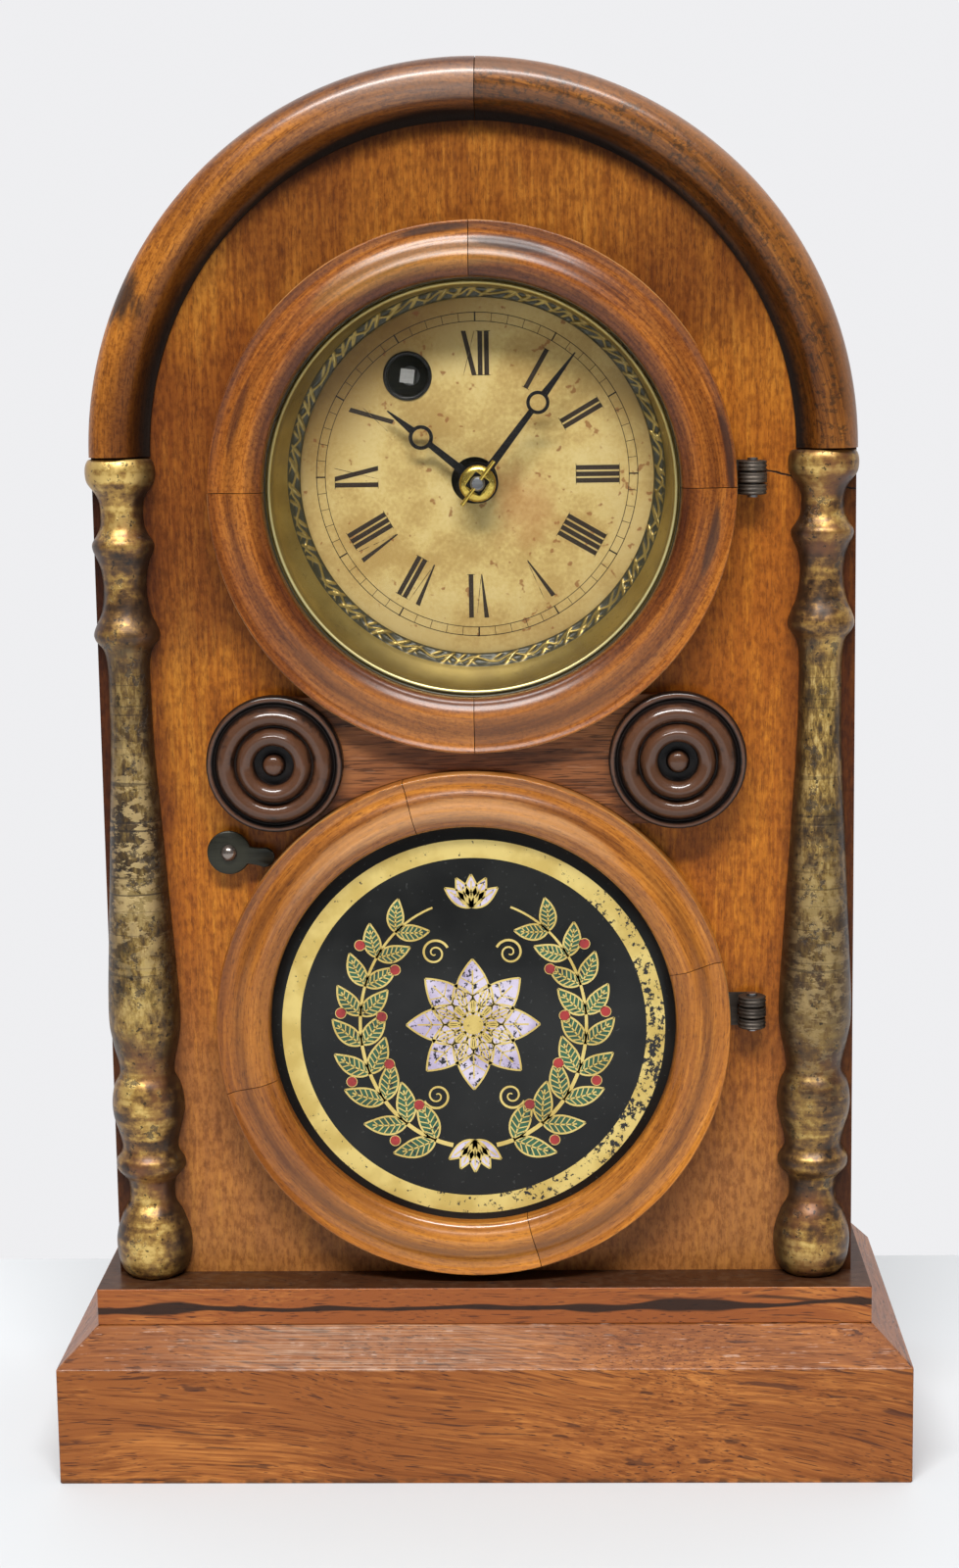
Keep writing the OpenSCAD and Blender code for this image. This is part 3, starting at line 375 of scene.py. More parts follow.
plainWood = {
    "dark": (126, 68, 30), "mid": (152, 88, 40), "light": (172, 106, 52), "poreTint": (84, 42, 20),
    "coat": 0.35, "coatRough": 0.14, "spec": 0.12, "rough": 0.45, "sway": 0.010, "bands": 170.0,
    "blotch": 0.5, "band": 0.2, "fibre": 0.3, "low": 0.38, "high": 0.62,
    "pore": 0.5, "poreFrom": 0.61, "poreAlong": 320.0, "fibreDeep": 0.00002, "poreDeep": 0.00003,
    "peel": 0.00002, "peelScale": 900.0,
}


# front panel: stained and varnished, grain upright, darker at the upper left and the top, paler below
panelLook = dict(plainWood, dark=(158, 88, 22), mid=(190, 115, 31), light=(214, 141, 45), coat=0.16,
                 coatRough=0.24, bands=130.0, fibre=0.36, blotch=0.46, band=0.1, pore=0.35, poreFrom=0.6)
f, rough, height = woodBody("panelVarnish", panelLook, alongZ)
here = f.place()
across = here.part("X")
upward = here.part("Z")
cloud = f.noise(here, 22.0, 3)
drift = (cloud - 0.5) * 0.06
dull = (upward + drift).step(0.222, 0.262) * (drift - across).step(0.02, 0.06)
dull = dull * (1 - upward.step(0.312, 0.345) * 0.55)
f.stain(dull, (190, 182, 206))
for x, z, share in ((-0.088, 0.263, 0.4), (-0.086, 0.212, 0.55), (0.06, 0.345, 0.5)):
    smirch = 1 - (f.distance(here, (x, panelFace, z)) + drift * 0.25).step(0.012, 0.032)
    f.stain(smirch * share, (190, 180, 190))
crown = (upward + drift + across * 0.12).step(0.31, 0.345)
f.stain(crown * 0.75, (198, 201, 238))
pale = ((0.17 - upward) * 6.0 + cloud * 0.8 - 0.4).step(0.0, 0.7)
f.paint(pale * 0.65, (160, 110, 64))
ripple = f.noise(here, (34.0, 34.0, 330.0), 2).step(0.48, 0.66)
f.stain(ripple * 0.2, (205, 190, 190))
grime = f.noise(f.bent, (60.0, 300.0, 300.0), 3).step(0.6, 0.74)
f.stain(grime * 0.4, (170, 150, 150))
mottle = f.noise(here, (620.0, 620.0, 300.0), 4, 0.7).step(0.38, 0.66)
f.stain(mottle * 0.6, (160, 138, 128))
# painted shadow of the arch moulding on the top of the panel
paintedArchShadow = f.distance(here, (0.0, panelFace, archCentre)).step(0.0875, 0.0915) * upward.step(0.35, 0.375)
f.stain(paintedArchShadow * 0.8, (120, 100, 100))
# painted shade on the panel in the crease beside each column
paintedColumnShade = abs(across) - 0.0856 - (upward - 0.176) * 0.02
f.stain(paintedColumnShade.step(0.0, 0.006) * 0.6, (160, 140, 140))
outside = abs(across).step(0.0985, 0.1015)
f.stain(outside * 0.85, (120, 98, 92))
crackPath = abs(upward - 0.2917 + (across - 0.08315) * 0.21 + (f.noise(here, 300.0, 2) - 0.5) * 0.0012)
crack = (1 - crackPath.step(0.00012, 0.0004)) * across.step(0.083, 0.0832)
f.paint(crack, (24, 14, 8))
panelFinish = f.done(rough, height=height - crack * 0.0002)

# case shell and sides: reddish veneer
caseLook = dict(plainWood, dark=(72, 36, 20), mid=(112, 58, 30), light=(140, 78, 42), bands=120.0, band=0.4,
                blotch=0.38, fibre=0.22, pore=0.6, coat=0.25, coatRough=0.2)
f, rough, height = woodBody("caseSideVeneer", caseLook, alongZ)
sideFinish = f.done(rough, height=height)
f, rough, height = woodBody("caseArchVeneer", caseLook, alongArch)
archShellFinish = f.done(rough, height=height)

# arch moulding halves; they darken towards the cove, which is painted nearly black: partly grime, partly
# painted shade
leftLook = dict(plainWood, dark=(118, 66, 20), mid=(158, 95, 30), light=(188, 118, 42), coat=1.0,
                coatRough=0.27, fibre=0.34, blotch=0.46, band=0.2, pore=0.6, poreAlong=260.0, rough=0.36,
                peel=0.00016, peelScale=1150.0)
f, rough, height = woodBody("archLeftVarnish", leftLook, alongMark)
here = f.place()
ragged = (f.noise(f.bent, (160.0, 500.0, 500.0), 4) - 0.5) * 0.012
bruise = f.distance(here, (-0.0975, -0.040, 0.3425)) + ragged
chip = f.distance(here, (-0.1035, -0.037, 0.3368)) + ragged * 0.4
grit = f.noise(here, 800.0, 4, 0.7).step(0.44, 0.64)
f.stain(grit * 0.6, (170, 146, 130))
f.paint((1 - bruise.step(0.003, 0.0095)) * 0.9, (50, 36, 28))
f.paint((1 - chip.step(0.0008, 0.0024)) * 0.9, (26, 20, 14))
low = (0.345 - here.part("Z")).step(0.0, 0.045) * (0.4 + f.noise(here, 60.0, 3))
f.stain(low * 0.7, (178, 164, 170))
# painted sheen: a pale tint along the top of the half round
crest = here.part("Z").step(0.386, 0.402) * (1 - f.mark("rim"))
f.paint(crest * 0.25, (176, 164, 152))
rim = f.mark("rim") * here.part("Z").step(0.372, 0.392)
f.stain(rim * 0.75, (150, 140, 146))
# darker towards the cove and nearly black in it: partly grime, partly painted shade
dim = f.mark("dim")
f.stain(dim.step(0.0, 0.4) * 0.8, (160, 146, 146))
f.paint(dim.step(0.5, 0.95) * 0.97, (20, 12, 7))
f.feed("Coat Weight", (1.0 - dim.step(0.55, 0.9)).most(0.02) * (0.3 + here.part("Z").step(0.36, 0.395) * 0.7))
archLeftFinish = f.done(rough + dim.step(0.55, 0.9) * 0.4, height=height)

rightLook = dict(leftLook, dark=(84, 47, 15), mid=(127, 75, 25), light=(164, 103, 38), peel=0.0002,
                 peelScale=1000.0, rough=0.38)
f, rough, height = woodBody("archRightVarnish", rightLook, alongMark)
here = f.place()
mottle = f.noise(here, 560.0, 5, 0.72).step(0.49, 0.6)
f.paint(mottle * 0.7, (50, 34, 17))
rim = f.mark("rim")
f.paint(rim * 0.5, (160, 112, 76))
f.stain(rim * here.part("Z").step(0.38, 0.4) * 0.6, (160, 150, 150))
low = (0.372 - here.part("Z")).step(0.0, 0.05)
f.stain(low * 0.3, (188, 176, 178))
# darker towards the cove and nearly black in it: partly grime, partly painted shade
dim = f.mark("dim")
f.stain(dim.step(0.0, 0.4) * 0.7, (170, 156, 160))
f.paint(dim.step(0.5, 0.95) * 0.97, (20, 12, 8))
f.feed("Coat Weight", (1.0 - dim.step(0.6, 0.9)).most(0.02) * (0.4 + here.part("Z").step(0.36, 0.395) * 0.4))
archRightFinish = f.done(rough + dim.step(0.55, 0.9) * 0.4, height=height)


# door rings
def stainAndLightPatch(f, turn, reach, long, wide):
    # a frayed patch on a ring, for stains and for painted light: degrees and radius, half length in degrees,
    # half width in millimetres
    polar = f.mark("polar", "Vector")
    frayed = (f.noise(f.bent, (60.0, 500.0, 500.0), 3) - 0.5) * 1.2
    along = abs(polar.part("X") - turn) / long
    aside = abs(polar.part("Y") - reach) / wide
    return 1 - (along * along + aside * aside + frayed).step(0.25, 1.1)


def arrisHighlight(f, share):
    # painted highlight along the outer edge, broken here and there
    bright = f.mark("arris") * f.noise(f.bent, (40.0, 300.0, 300.0), 3).step(0.4, 0.6)
    f.paint(bright * share, (226, 176, 112))


upperLook = dict(plainWood, dark=(108, 56, 18), mid=(146, 82, 26), light=(178, 109, 40), coat=0.8,
                 coatRough=0.26, bands=95.0, band=0.22, blotch=0.40, fibre=0.38, rough=0.36, pore=0.5,
                 peel=0.00008, peelScale=900.0)
f, rough, height = woodBody("upperRingVarnish", upperLook, alongMark)
streak = f.noise(f.bent, (7.0, 150.0, 150.0), 2).step(0.60, 0.72)
f.paint(streak * 0.45, (84, 44, 24))
grit = f.noise(f.place(), 1000.0, 4, 0.7).step(0.46, 0.62)
f.stain(grit * 0.55, (168, 140, 124))
# painted light: the bottom of the ring made paler, and a painted sheen tint at the top
f.paint(stainAndLightPatch(f, 270.0, 66.0, 60.0, 9.0) * 0.2, (200, 138, 82))
f.paint(stainAndLightPatch(f, 104.0, 66.0, 30.0, 6.0) * 0.2, (196, 160, 84))
scorch = (79.0, 69.2, 12.0, 2.2)
for place, share, shade in ((scorch, 0.8, (58, 46, 42)), ((97.0, 72.9, 9.0, 1.4), 0.75, (54, 34, 24)),
                            ((9.0, 72.9, 13.0, 1.5), 0.85, (52, 28, 18)),
                            ((161.0, 69.2, 10.0, 1.5), 0.6, (66, 36, 28)),
                            ((347.0, 69.2, 10.0, 1.8), 0.7, (70, 50, 38))):
    f.paint(stainAndLightPatch(f, *place) * share, shade)
f.stain(f.mark("dip") * 0.6, (180, 170, 180))
f.stain(f.mark("edge") * 0.85, (146, 130, 150))
arrisHighlight(f, 0.8)
f.feed("Coat Weight", (0.2 + f.mark("gloss") * 0.4) * (1 - stainAndLightPatch(f, *scorch) * 0.6))
upperRingFinish = f.done(rough, height=height)

lowerLook = dict(upperLook, dark=(148, 86, 27), mid=(181, 112, 38), light=(207, 135, 51), coatRough=0.19,
                 pore=0.5, blotch=0.36, band=0.2)
f, rough, height = woodBody("lowerRingVarnish", lowerLook, alongMark)
streak = f.noise(f.bent, (8.0, 170.0, 170.0), 2).step(0.62, 0.74)
f.paint(streak * 0.3, (118, 66, 32))
f.paint(stainAndLightPatch(f, 262.0, 67.4, 40.0, 0.9) * 0.5, (104, 56, 26))
f.stain(f.mark("dip") * 0.75, (176, 168, 182))
grit = f.noise(f.place(), 800.0, 4, 0.7).step(0.46, 0.64)
f.stain(grit * 0.3, (176, 150, 134))
# painted highlight along the crest at the top, and painted light making the bottom paler
f.paint(stainAndLightPatch(f, 98.0, 64.6, 58.0, 3.6) * 0.26, (240, 190, 134))
f.paint(stainAndLightPatch(f, 270.0, 66.0, 60.0, 9.0) * 0.16, (214, 142, 56))
f.stain(f.mark("flank") * 0.9, (218, 211, 214))
f.stain(f.mark("edge") * 0.3, (160, 150, 160))
arrisHighlight(f, 0.6)
f.feed("Coat Weight", 0.15 + f.mark("gloss") * 0.85)
lowerRingFinish = f.done(rough, height=height)

# base veneer: reddish brown with long dark flecks
baseLook = dict(plainWood, dark=(146, 84, 37), mid=(184, 115, 54), light=(202, 134, 67), bands=90.0,
                band=0.16, blotch=0.3, fibre=0.36, pore=0.85, poreFrom=0.63, poreAlong=120.0,
                poreTint=(74, 38, 26), coat=0.25, coatRough=0.2, sway=0.05, poreDeep=0.00006)


def baseVeneer(name, grain):
    f, rough, height = woodBody(name, baseLook, grain)
    here = f.place()
    upward = here.part("Z")
    fleck = f.noise(f.bent, (38.0, 560.0, 560.0), 2).step(0.635, 0.69)
    f.paint(fleck * 0.75, (76, 42, 28))
    worn = f.noise(here, 260.0, 3)
    arris = (1 - abs(upward - 0.0347).step(0.0001, 0.0007)) * worn.step(0.45, 0.62)
    f.paint(arris * 0.3, (206, 164, 136))
    foot = (1 - upward.step(0.0003, 0.0022)) * worn.step(0.35, 0.6)
    f.paint(foot * 0.7, (60, 40, 26))
    line = f.noise(f.bent, (16.0, 900.0, 900.0), 3, 0.6).step(0.46, 0.64)
    f.stain(line * 0.5, (168, 144, 134))
    # painted shade: the upward chamfer darkened
    slope = upward.step(0.0340, 0.0352)
    f.stain(slope * 0.45, (196, 196, 212))
    # painted sheen on the chamfer, with fine pale scratches in it
    hazeAndSheen = slope * (1 - abs(here.part("X") + 0.035).step(0.01, 0.085)) * (0.3 + worn)
    hairs = f.noise(here, (30.0, 3000.0, 3000.0), 3, 0.6).step(0.42, 0.66)
    f.paint(hazeAndSheen * (0.04 + hairs * 0.3), (222, 198, 172))
    scuff = slope * f.noise(here, (70.0, 2200.0, 2200.0), 3).step(0.57, 0.68) * worn.step(0.5, 0.66)
    f.paint(scuff * 0.45, (222, 194, 176))
    return f.done(rough + scuff * 0.1, height=height)


baseFrontFinish = baseVeneer("baseFrontVeneer", alongSlant)
baseSideFinish = baseVeneer("baseSideVeneer", alongY)

# plinth board: bold dark vein along the front edge; the top painted near black, partly dust and partly
# painted shade
plinthLook = dict(baseLook, mid=(180, 110, 52), light=(200, 131, 66), dark=(146, 80, 36), coat=0.3)
f, rough, height = woodBody("plinthVeneer", plinthLook, alongX)
here = f.place()
upward = here.part("Z")
slow = f.noise(here, (14.0, 1.0, 1.0), 2)
quick = f.noise(here, (36.0, 1.0, 160.0), 3)
vein = upward - 0.0497 - (slow - 0.5) * 0.009 - (quick - 0.5) * 0.0014
veinWide = 0.0007 + f.noise(here, (26.0, 1.0, 1.0), 2).step(0.42, 0.72) * 0.0020
core = 1 - (abs(vein) / veinWide).step(0.55, 1.0)
second = 1 - (abs(upward - 0.0528 + (slow - 0.5) * 0.01) / 0.0007).step(0.4, 1.0)
second = second * f.noise(here, (16.0, 1.0, 1.0), 2).step(0.5, 0.62)
f.paint(core.most(second * 0.8) * 0.93, (30, 20, 15))
# upward faces painted near black with dusty specks: painted shade under the ring, with dust
flat = f.node("ShaderNodeNewGeometry", {}, {}, "Normal").part("Z").step(0.7, 0.95)
dust = f.noise(here, 300.0, 3).step(0.45, 0.7)
f.paint(flat * 0.85, f.blend(dust * 0.5, tint(20, 17, 13), tint(58, 50, 40)))
plinthFinish = f.done(rough + flat * 0.15, height=height)

# rail between the rings: dark close-grained wood
railLook = dict(plainWood, dark=(58, 33, 20), mid=(124, 75, 43), light=(154, 98, 57), poreTint=(40, 23, 15),
                pore=0.65, poreAlong=110.0, coat=0.15, bands=140.0, poreFrom=0.58)
f, rough, height = woodBody("railVarnish", railLook, alongX)
glint = f.noise(f.bent, (120.0, 1500.0, 1500.0), 1).step(0.66, 0.7)
f.paint(glint * 0.2, (168, 128, 100))
railFinish = f.done(rough, height=height)

# rosettes: near-black polish worn to reddish brown on the crests
rosetteLook = dict(plainWood, dark=(26, 17, 12), mid=(46, 28, 19), light=(68, 40, 26), coat=0.9,
                   coatRough=0.13, rough=0.4, pore=0.5, poreTint=(18, 12, 9), peel=0.00018, peelScale=1300.0)
f, rough, height = woodBody("rosetteVarnish", rosetteLook, alongX)
crest = f.mark("crest")
patchy = f.noise(f.place(), 260.0, 4, 0.6)
f.paint((crest * 0.9 + patchy - 0.6).step(0.3, 0.56) * 0.6, (98, 62, 40))
f.paint((0.52 - crest + patchy * 0.36).step(0.25, 0.55) * 0.95, (14, 10, 9))
f.feed("Coat Weight", 0.1 + crest * 0.8)
rosetteFinish = f.done(rough, height=height)

# raw softwood inside and behind
pineLook = dict(plainWood, dark=(116, 80, 46), mid=(156, 116, 70), light=(178, 140, 92),
                poreTint=(86, 56, 30), coat=0.0, rough=0.72, bands=110.0, band=0.5, blotch=0.3, fibre=0.2,
                peel=0.0)


def rawPine(name, grain, waves, least):
    f, rough, height = woodBody(name, pineLook, grain)
    smokeAndShadow = f.noise(f.place(), waves, 4).step(least, 0.7)
    f.paint(smokeAndShadow * 0.5, (98, 66, 38))
    return f.done(rough, height=height)


pineUprightFinish = rawPine("rawPineUpright", alongZ, 18.0, 0.42)
pineLevelFinish = rawPine("rawPineLevel", alongX, 24.0, 0.45)

# gilding on the columns: bronze over a dark ground, patched with gold, crazed and flaked on the shafts
f = Finish("columnGilding", {"Specular IOR Level": 0.4, "Coat Weight": 0.2, "Coat Roughness": 0.3})
here = f.place()
wrapped = f.mark("wrap", "Vector")
raised = f.mark("raised")
shaft = f.mark("shaft")
worn = f.mark("worn")
patch = f.noise(here, 75.0, 5, 0.62)
fine = f.noise(here, 430.0, 4, 0.6)
hoops = f.noise(wrapped, (60.0, 1.0, 460.0), 3)
tone = patch * 0.52 + fine * 0.24 + hoops * 0.24 + raised * 0.02 + f.mark("bright") * 0.05
tone = tone.step(0.378, 0.618)
f.colour = f.ramp(tone, [(0.0, tint(40, 26, 15)), (0.3, tint(90, 62, 32)), (0.55, tint(138, 102, 52)),
                         (0.8, tint(182, 144, 74)), (1.0, tint(224, 190, 112))])
copper = f.noise(here, 55.0, 3).step(0.5, 0.66)
f.paint(copper * (1 - shaft) * 0.6, (130, 80, 46))
crazed = f.noise(wrapped, (380.0, 1.0, 170.0), 6, 0.7) * 0.6 + f.noise(here, 60.0, 4) * 0.4
crazed = crazed + f.mark("bright") * 0.028
olive = f.ramp(crazed.step(0.41, 0.59), [(0.0, tint(38, 29, 16)), (0.4, tint(112, 86, 42)),
                                         (0.75, tint(168, 136, 68)), (1.0, tint(212, 182, 112))])
f.paint(shaft * 0.85, olive)
murk = f.mark("murk") * (0.55 + patch * 0.8)
f.paint(murk.least(1.0) * 0.62, (74, 50, 29))
f.paint(worn * 0.6, (52, 40, 25))
leaf = f.noise(wrapped, (150.0, 1.0, 300.0), 5, 0.66).step(0.49, 0.55) * worn
f.paint(leaf * 0.85, (190, 164, 112))
flake = (f.noise(here, 150.0, 5, 0.72) + shaft * 0.015).step(0.585, 0.64)
f.paint(flake * 0.75, (36, 25, 16))
speck = f.noise(here, 620.0, 3).step(0.63, 0.69)
f.paint(speck * 0.8, (22, 16, 11))
hoopLine = f.noise(wrapped, (14.0, 1.0, 800.0), 2).step(0.58, 0.66) * (shaft * 0.35 + worn * 0.45)
f.paint(hoopLine, (44, 32, 21))
# painted shade: darker where the turning faces sideways
sides = f.mark("sides") * (0.5 + f.noise(here, 120.0, 3)).least(1.0)
f.stain(sides * 0.8, (150, 128, 118))
shadowed = f.mark("inner")
f.paint((shadowed * (0.55 + patch * 0.6)).least(1.0) * 0.92, (24, 17, 11))
giltMetal = (1 - flake) * (1 - shadowed) * (1 - sides * 0.5) * (0.2 + tone * 0.5)
giltDeep = fine * 0.00009 + leaf * 0.00008 - flake * 0.00012 - hoopLine * 0.00010
giltFinish = f.done(0.3 + fine * 0.26, giltMetal, giltDeep)

# brass
f = Finish("sightBrass", {"Specular IOR Level": 0.5})
lift = f.mark("lift")
tarnish = f.noise(f.place(), 90.0, 4)
spot = f.noise(f.place(), 700.0, 3).step(0.6, 0.7)
below = (0.262 - f.place().part("Z")).step(0.0, 0.03)
f.colour = f.blend(tarnish.step(0.35, 0.65), tint(168, 144, 76), tint(142, 119, 60))
f.paint(spot * 0.35, (96, 76, 38))
# painted shade on the lower part of the ring
f.stain(below * 0.6, (186, 184, 176))
# dark in the stamped hollows (patina) and on the flange beside the wood ring (painted shade)
sunkPatinaAndShade = (0.55 - lift).step(0.0, 0.4)
f.paint(sunkPatinaAndShade, (58, 55, 38))
f.paint((lift - 0.75).step(0.0, 0.3) * (1 - (lift - 1.0).step(0.0, 0.1)), (128, 112, 64))
# painted highlight on the rolled bead and the leaf tops, stronger lower down
lit = 0.2 + (0.31 - f.place().part("Z")).step(0.0, 0.05) * 0.8
f.paint((lift - 1.1).step(0.0, 0.3) * lit, (240, 226, 160))
pitted = f.noise(f.place(), 1500.0, 2) * 0.00001
sightFinish = f.done(0.3 + tarnish * 0.12, 0.68 - sunkPatinaAndShade * 0.4, pitted)


def metalFinish(name, pale, dark, rough, metal=0.95):
    # worked metal: fine drawn lines, slow tarnish and small dark specks
    f = Finish(name)
    here = f.place()
    tarnish = f.noise(here, 60.0, 4)
    lines = f.noise(here, (90.0, 1400.0, 1400.0), 2)
    speck = f.noise(here, 1100.0, 2).step(0.64, 0.72)
    f.colour = f.blend((tarnish * 0.7 + lines * 0.3).step(0.36, 0.66), tint(*pale), tint(*dark))
    f.paint(speck * 0.6, [int(c * 0.45) for c in dark])
    sheen = f.noise(here, 200.0, 3)
    return f.done(rough + sheen * 0.2 - 0.1 + speck * 0.15, metal - speck * 0.3,
                  lines * 0.000008 - speck * 0.00003)


brassFinish = metalFinish("movementBrass", (206, 176, 96), (158, 128, 62), 0.32)
# the movement plates and the motion wheels, seen through the dial holes, are painted dark: painted shade for
# the inside of the case
shadedPlateFinish = metalFinish("plateBrassShaded", (78, 65, 38), (46, 38, 22), 0.55, 0.7)
squareFinish = metalFinish("squareSteel", (188, 186, 180), (146, 144, 138), 0.3, 0.6)
shadedWheelFinish = metalFinish("wheelBrassShaded", (58, 48, 28), (34, 28, 17), 0.6, 0.6)
washerFinish = metalFinish("washerBrass", (232, 206, 104), (196, 164, 68), 0.26)
steelFinish = metalFinish("arborSteel", (178, 180, 182), (128, 128, 130), 0.3)
ironFinish = metalFinish("hingeIron", (96, 86, 76), (48, 41, 35), 0.5, 0.6)
latchFinish = metalFinish("latchPatina", (50, 49, 38), (24, 24, 19), 0.4, 0.5)
domeFinish = metalFinish("latchRivet", (150, 138, 130), (104, 94, 88), 0.24, 0.9)
screwFinish = metalFinish("screwIron", (120, 112, 104), (70, 62, 54), 0.42)
eyeletFinish = metalFinish("eyeletBlack", (26, 22, 19), (13, 11, 10), 0.32, 0.4)
handFinish = metalFinish("handBlack", (34, 30, 30), (16, 14, 16), 0.32, 0.5)

# clear glass over the dial
f = Finish("dialGlass", {"Roughness": 0.03, "Specular IOR Level": 0.6})
smear = f.noise(f.place(), 30.0, 3).step(0.4, 0.75)
f.colour = f.blend(smear, tint(60, 66, 60), tint(110, 112, 104))
glassFinish = f.done(alpha=0.02 + smear * 0.015)

# dial paper: aged cream, foxed, darker round the edge, with the ring's shadow painted at the upper left
f = Finish("dialPaper", {"Specular IOR Level": 0.25})
here = f.place()
reach = f.distance(f.moved(here, (1, 0, 1)), (dialX, 0.0, dialZ))
age = f.noise(here, 55.0, 4, 0.6)
fibre = f.noise(here, 900.0, 3)
f.colour = f.ramp((age * 0.75 + fibre * 0.25).step(0.34, 0.68), [
    (0.0, tint(172, 141, 80)), (0.5, tint(197, 171, 106)), (1.0, tint(209, 187, 125))])
edge = (reach + (age - 0.5) * 0.02).step(0.030, 0.056)
f.paint(edge * 0.5, (166, 137, 84))
# painted shadow of the ring across the upper left of the dial
aslant = (here.part("Z") - dialZ) * 0.75 - (here.part("X") - dialX) * 0.66
smokeAndShadow = (aslant + (age - 0.5) * 0.010).step(0.022, 0.05)
f.stain(smokeAndShadow * 0.9, (184, 160, 124))
fox = f.noise(here, 330.0, 2).step(0.66, 0.72)
f.paint(fox * 0.75, (134, 80, 40))
rust = f.distance(here, (0.014, -0.0255, 0.283)) + (age - 0.5) * 0.03
f.paint((1 - rust.step(0.002, 0.014)) * 0.4, (168, 104, 60))
paperFinish = f.done(0.55 + fibre * 0.2, height=fibre * 0.00002 + age * 0.00006)

# printed ink, worn through in places
f = Finish("dialInk", {"Specular IOR Level": 0.2})
keep = f.mark("keep")
wear = f.noise(f.place(), 380.0, 4, 0.65)
gone = (wear - keep * 0.5).step(0.30, 0.42)
f.colour = f.blend(gone, tint(52, 42, 32), tint(176, 146, 92))
inkFinish = f.done(0.6 + wear * 0.1)

# tablet: black glass, gold leaf, flower colours
f = Finish("tabletBlack", {"Coat Weight": 0.1, "Coat Roughness": 0.05, "Specular IOR Level": 0.2})
hazeAndSheen = f.noise(f.place(), 40.0, 4)
dustSpeck = f.noise(f.place(), 900.0, 2).step(0.68, 0.73)
f.colour = f.blend(hazeAndSheen.step(0.35, 0.7), tint(22, 23, 23), tint(34, 35, 34))
f.paint(dustSpeck * 0.4, (84, 86, 84))
tabletFinish = f.done(0.22 + hazeAndSheen * 0.16)


def leafPaint(name, pale, deep, loss, metal):
    # leaf or paint on the back of the glass: colour drifts, and small flakes have gone
    f = Finish(name, {"Coat Weight": 0.15, "Coat Roughness": 0.05})
    here = f.place()
    drift = f.noise(here, 110.0, 4)
    crumb = f.noise(here, 520.0, 5, 0.7)
    heavy = f.mark("loss")
    lost = (crumb + heavy * 0.16).step(loss, loss + 0.03)
    f.colour = f.blend(drift.step(0.35, 0.65), tint(*pale), tint(*deep))
    f.paint(lost, (15, 15, 17))
    return f.done(0.36 + drift * 0.15, (1 - lost) * metal if metal else None, lost * -0.00003)


leafGoldFinish = leafPaint("tabletGold", (230, 205, 124), (209, 180, 98), 0.66, 0.55)
leafGreenFinish = leafPaint("tabletGreen", (44, 92, 62), (30, 66, 46), 0.64, 0.0)
petalFinish = leafPaint("tabletLavender", (206, 196, 214), (170, 156, 184), 0.63, 0.0)
berryFinish = leafPaint("tabletRed", (168, 44, 40), (128, 30, 30), 0.66, 0.0)
print("finishes made:", len(bpy.data.materials))


# pieces

# arch moulding: a half round that runs down through a small cove to the panel
archMoulding = {"centre": (0.0, 298.0), "face": -32.5, "seam": 1.4, "gap": 0.15, "steps": 130}
archProfile = np.vstack([
    [[109.1, 0.0], [109.1, 1.6]],
    smoothLine([[109.09, 3.0], [108.6, 5.4], [107.2, 7.6], [105.0, 9.2], [103.2, 9.8], [101.4, 10.0],
                [99.4, 9.5], [97.4, 8.05], [96.2, 6.4], [95.5, 4.6], [94.9, 3.1], [94.0, 1.9], [92.9, 1.15],
                [91.95, 0.85]], 5),
    [[91.9, 0.0]]])


def archHalf(start, end):
    # the profile carried round the arch's centre; the grain follows the bend
    degrees = np.linspace(start, end, archMoulding["steps"])
    outline = np.stack([archProfile[:, 0], archMoulding["face"] - archProfile[:, 1]], -1)
    grid = turnedGrid(outline, archMoulding["centre"], degrees)
    r = np.broadcast_to(outline[None, :, 0], grid.shape[:2])
    along = np.broadcast_to(np.radians(degrees)[:, None] * 102.0, grid.shape[:2])
    grain = np.stack([along, r + 6 * np.sin(along / 40), grid[..., 1]], -1) * mm
    # the darkening of the cove, grime and painted shade, starts and ends at radii that change along the arch
    starts = np.interp(degrees, [10, 45, 96, 135, 165], [101.5, 100.0, 98.5, 99.0, 105.0])[:, None]
    ends = np.interp(degrees, [10, 45, 96, 135, 165], [92.5, 91.0, 94.3, 91.5, 92.5])[:, None]
    dim = np.clip((starts - r) / (starts - ends), 0, 1)[..., None]
    rim = np.clip((r - 104.5) / 2.5, 0, 1)[..., None]
    return shellOf(grid, loopCols=True, capEnds=True, marks={"grain": grain, "dim": dim, "rim": rim})


seam = 90 - archMoulding["seam"]
makePiece("archMouldingLeft", [archHalf(seam + archMoulding["gap"], 180.0)], archLeftFinish, "case",
          ["arch_moulding_left"])
makePiece("archMouldingRight", [archHalf(0.0, seam)], archRightFinish, "case",
          ["arch_moulding_right"])
print("arch moulding made")

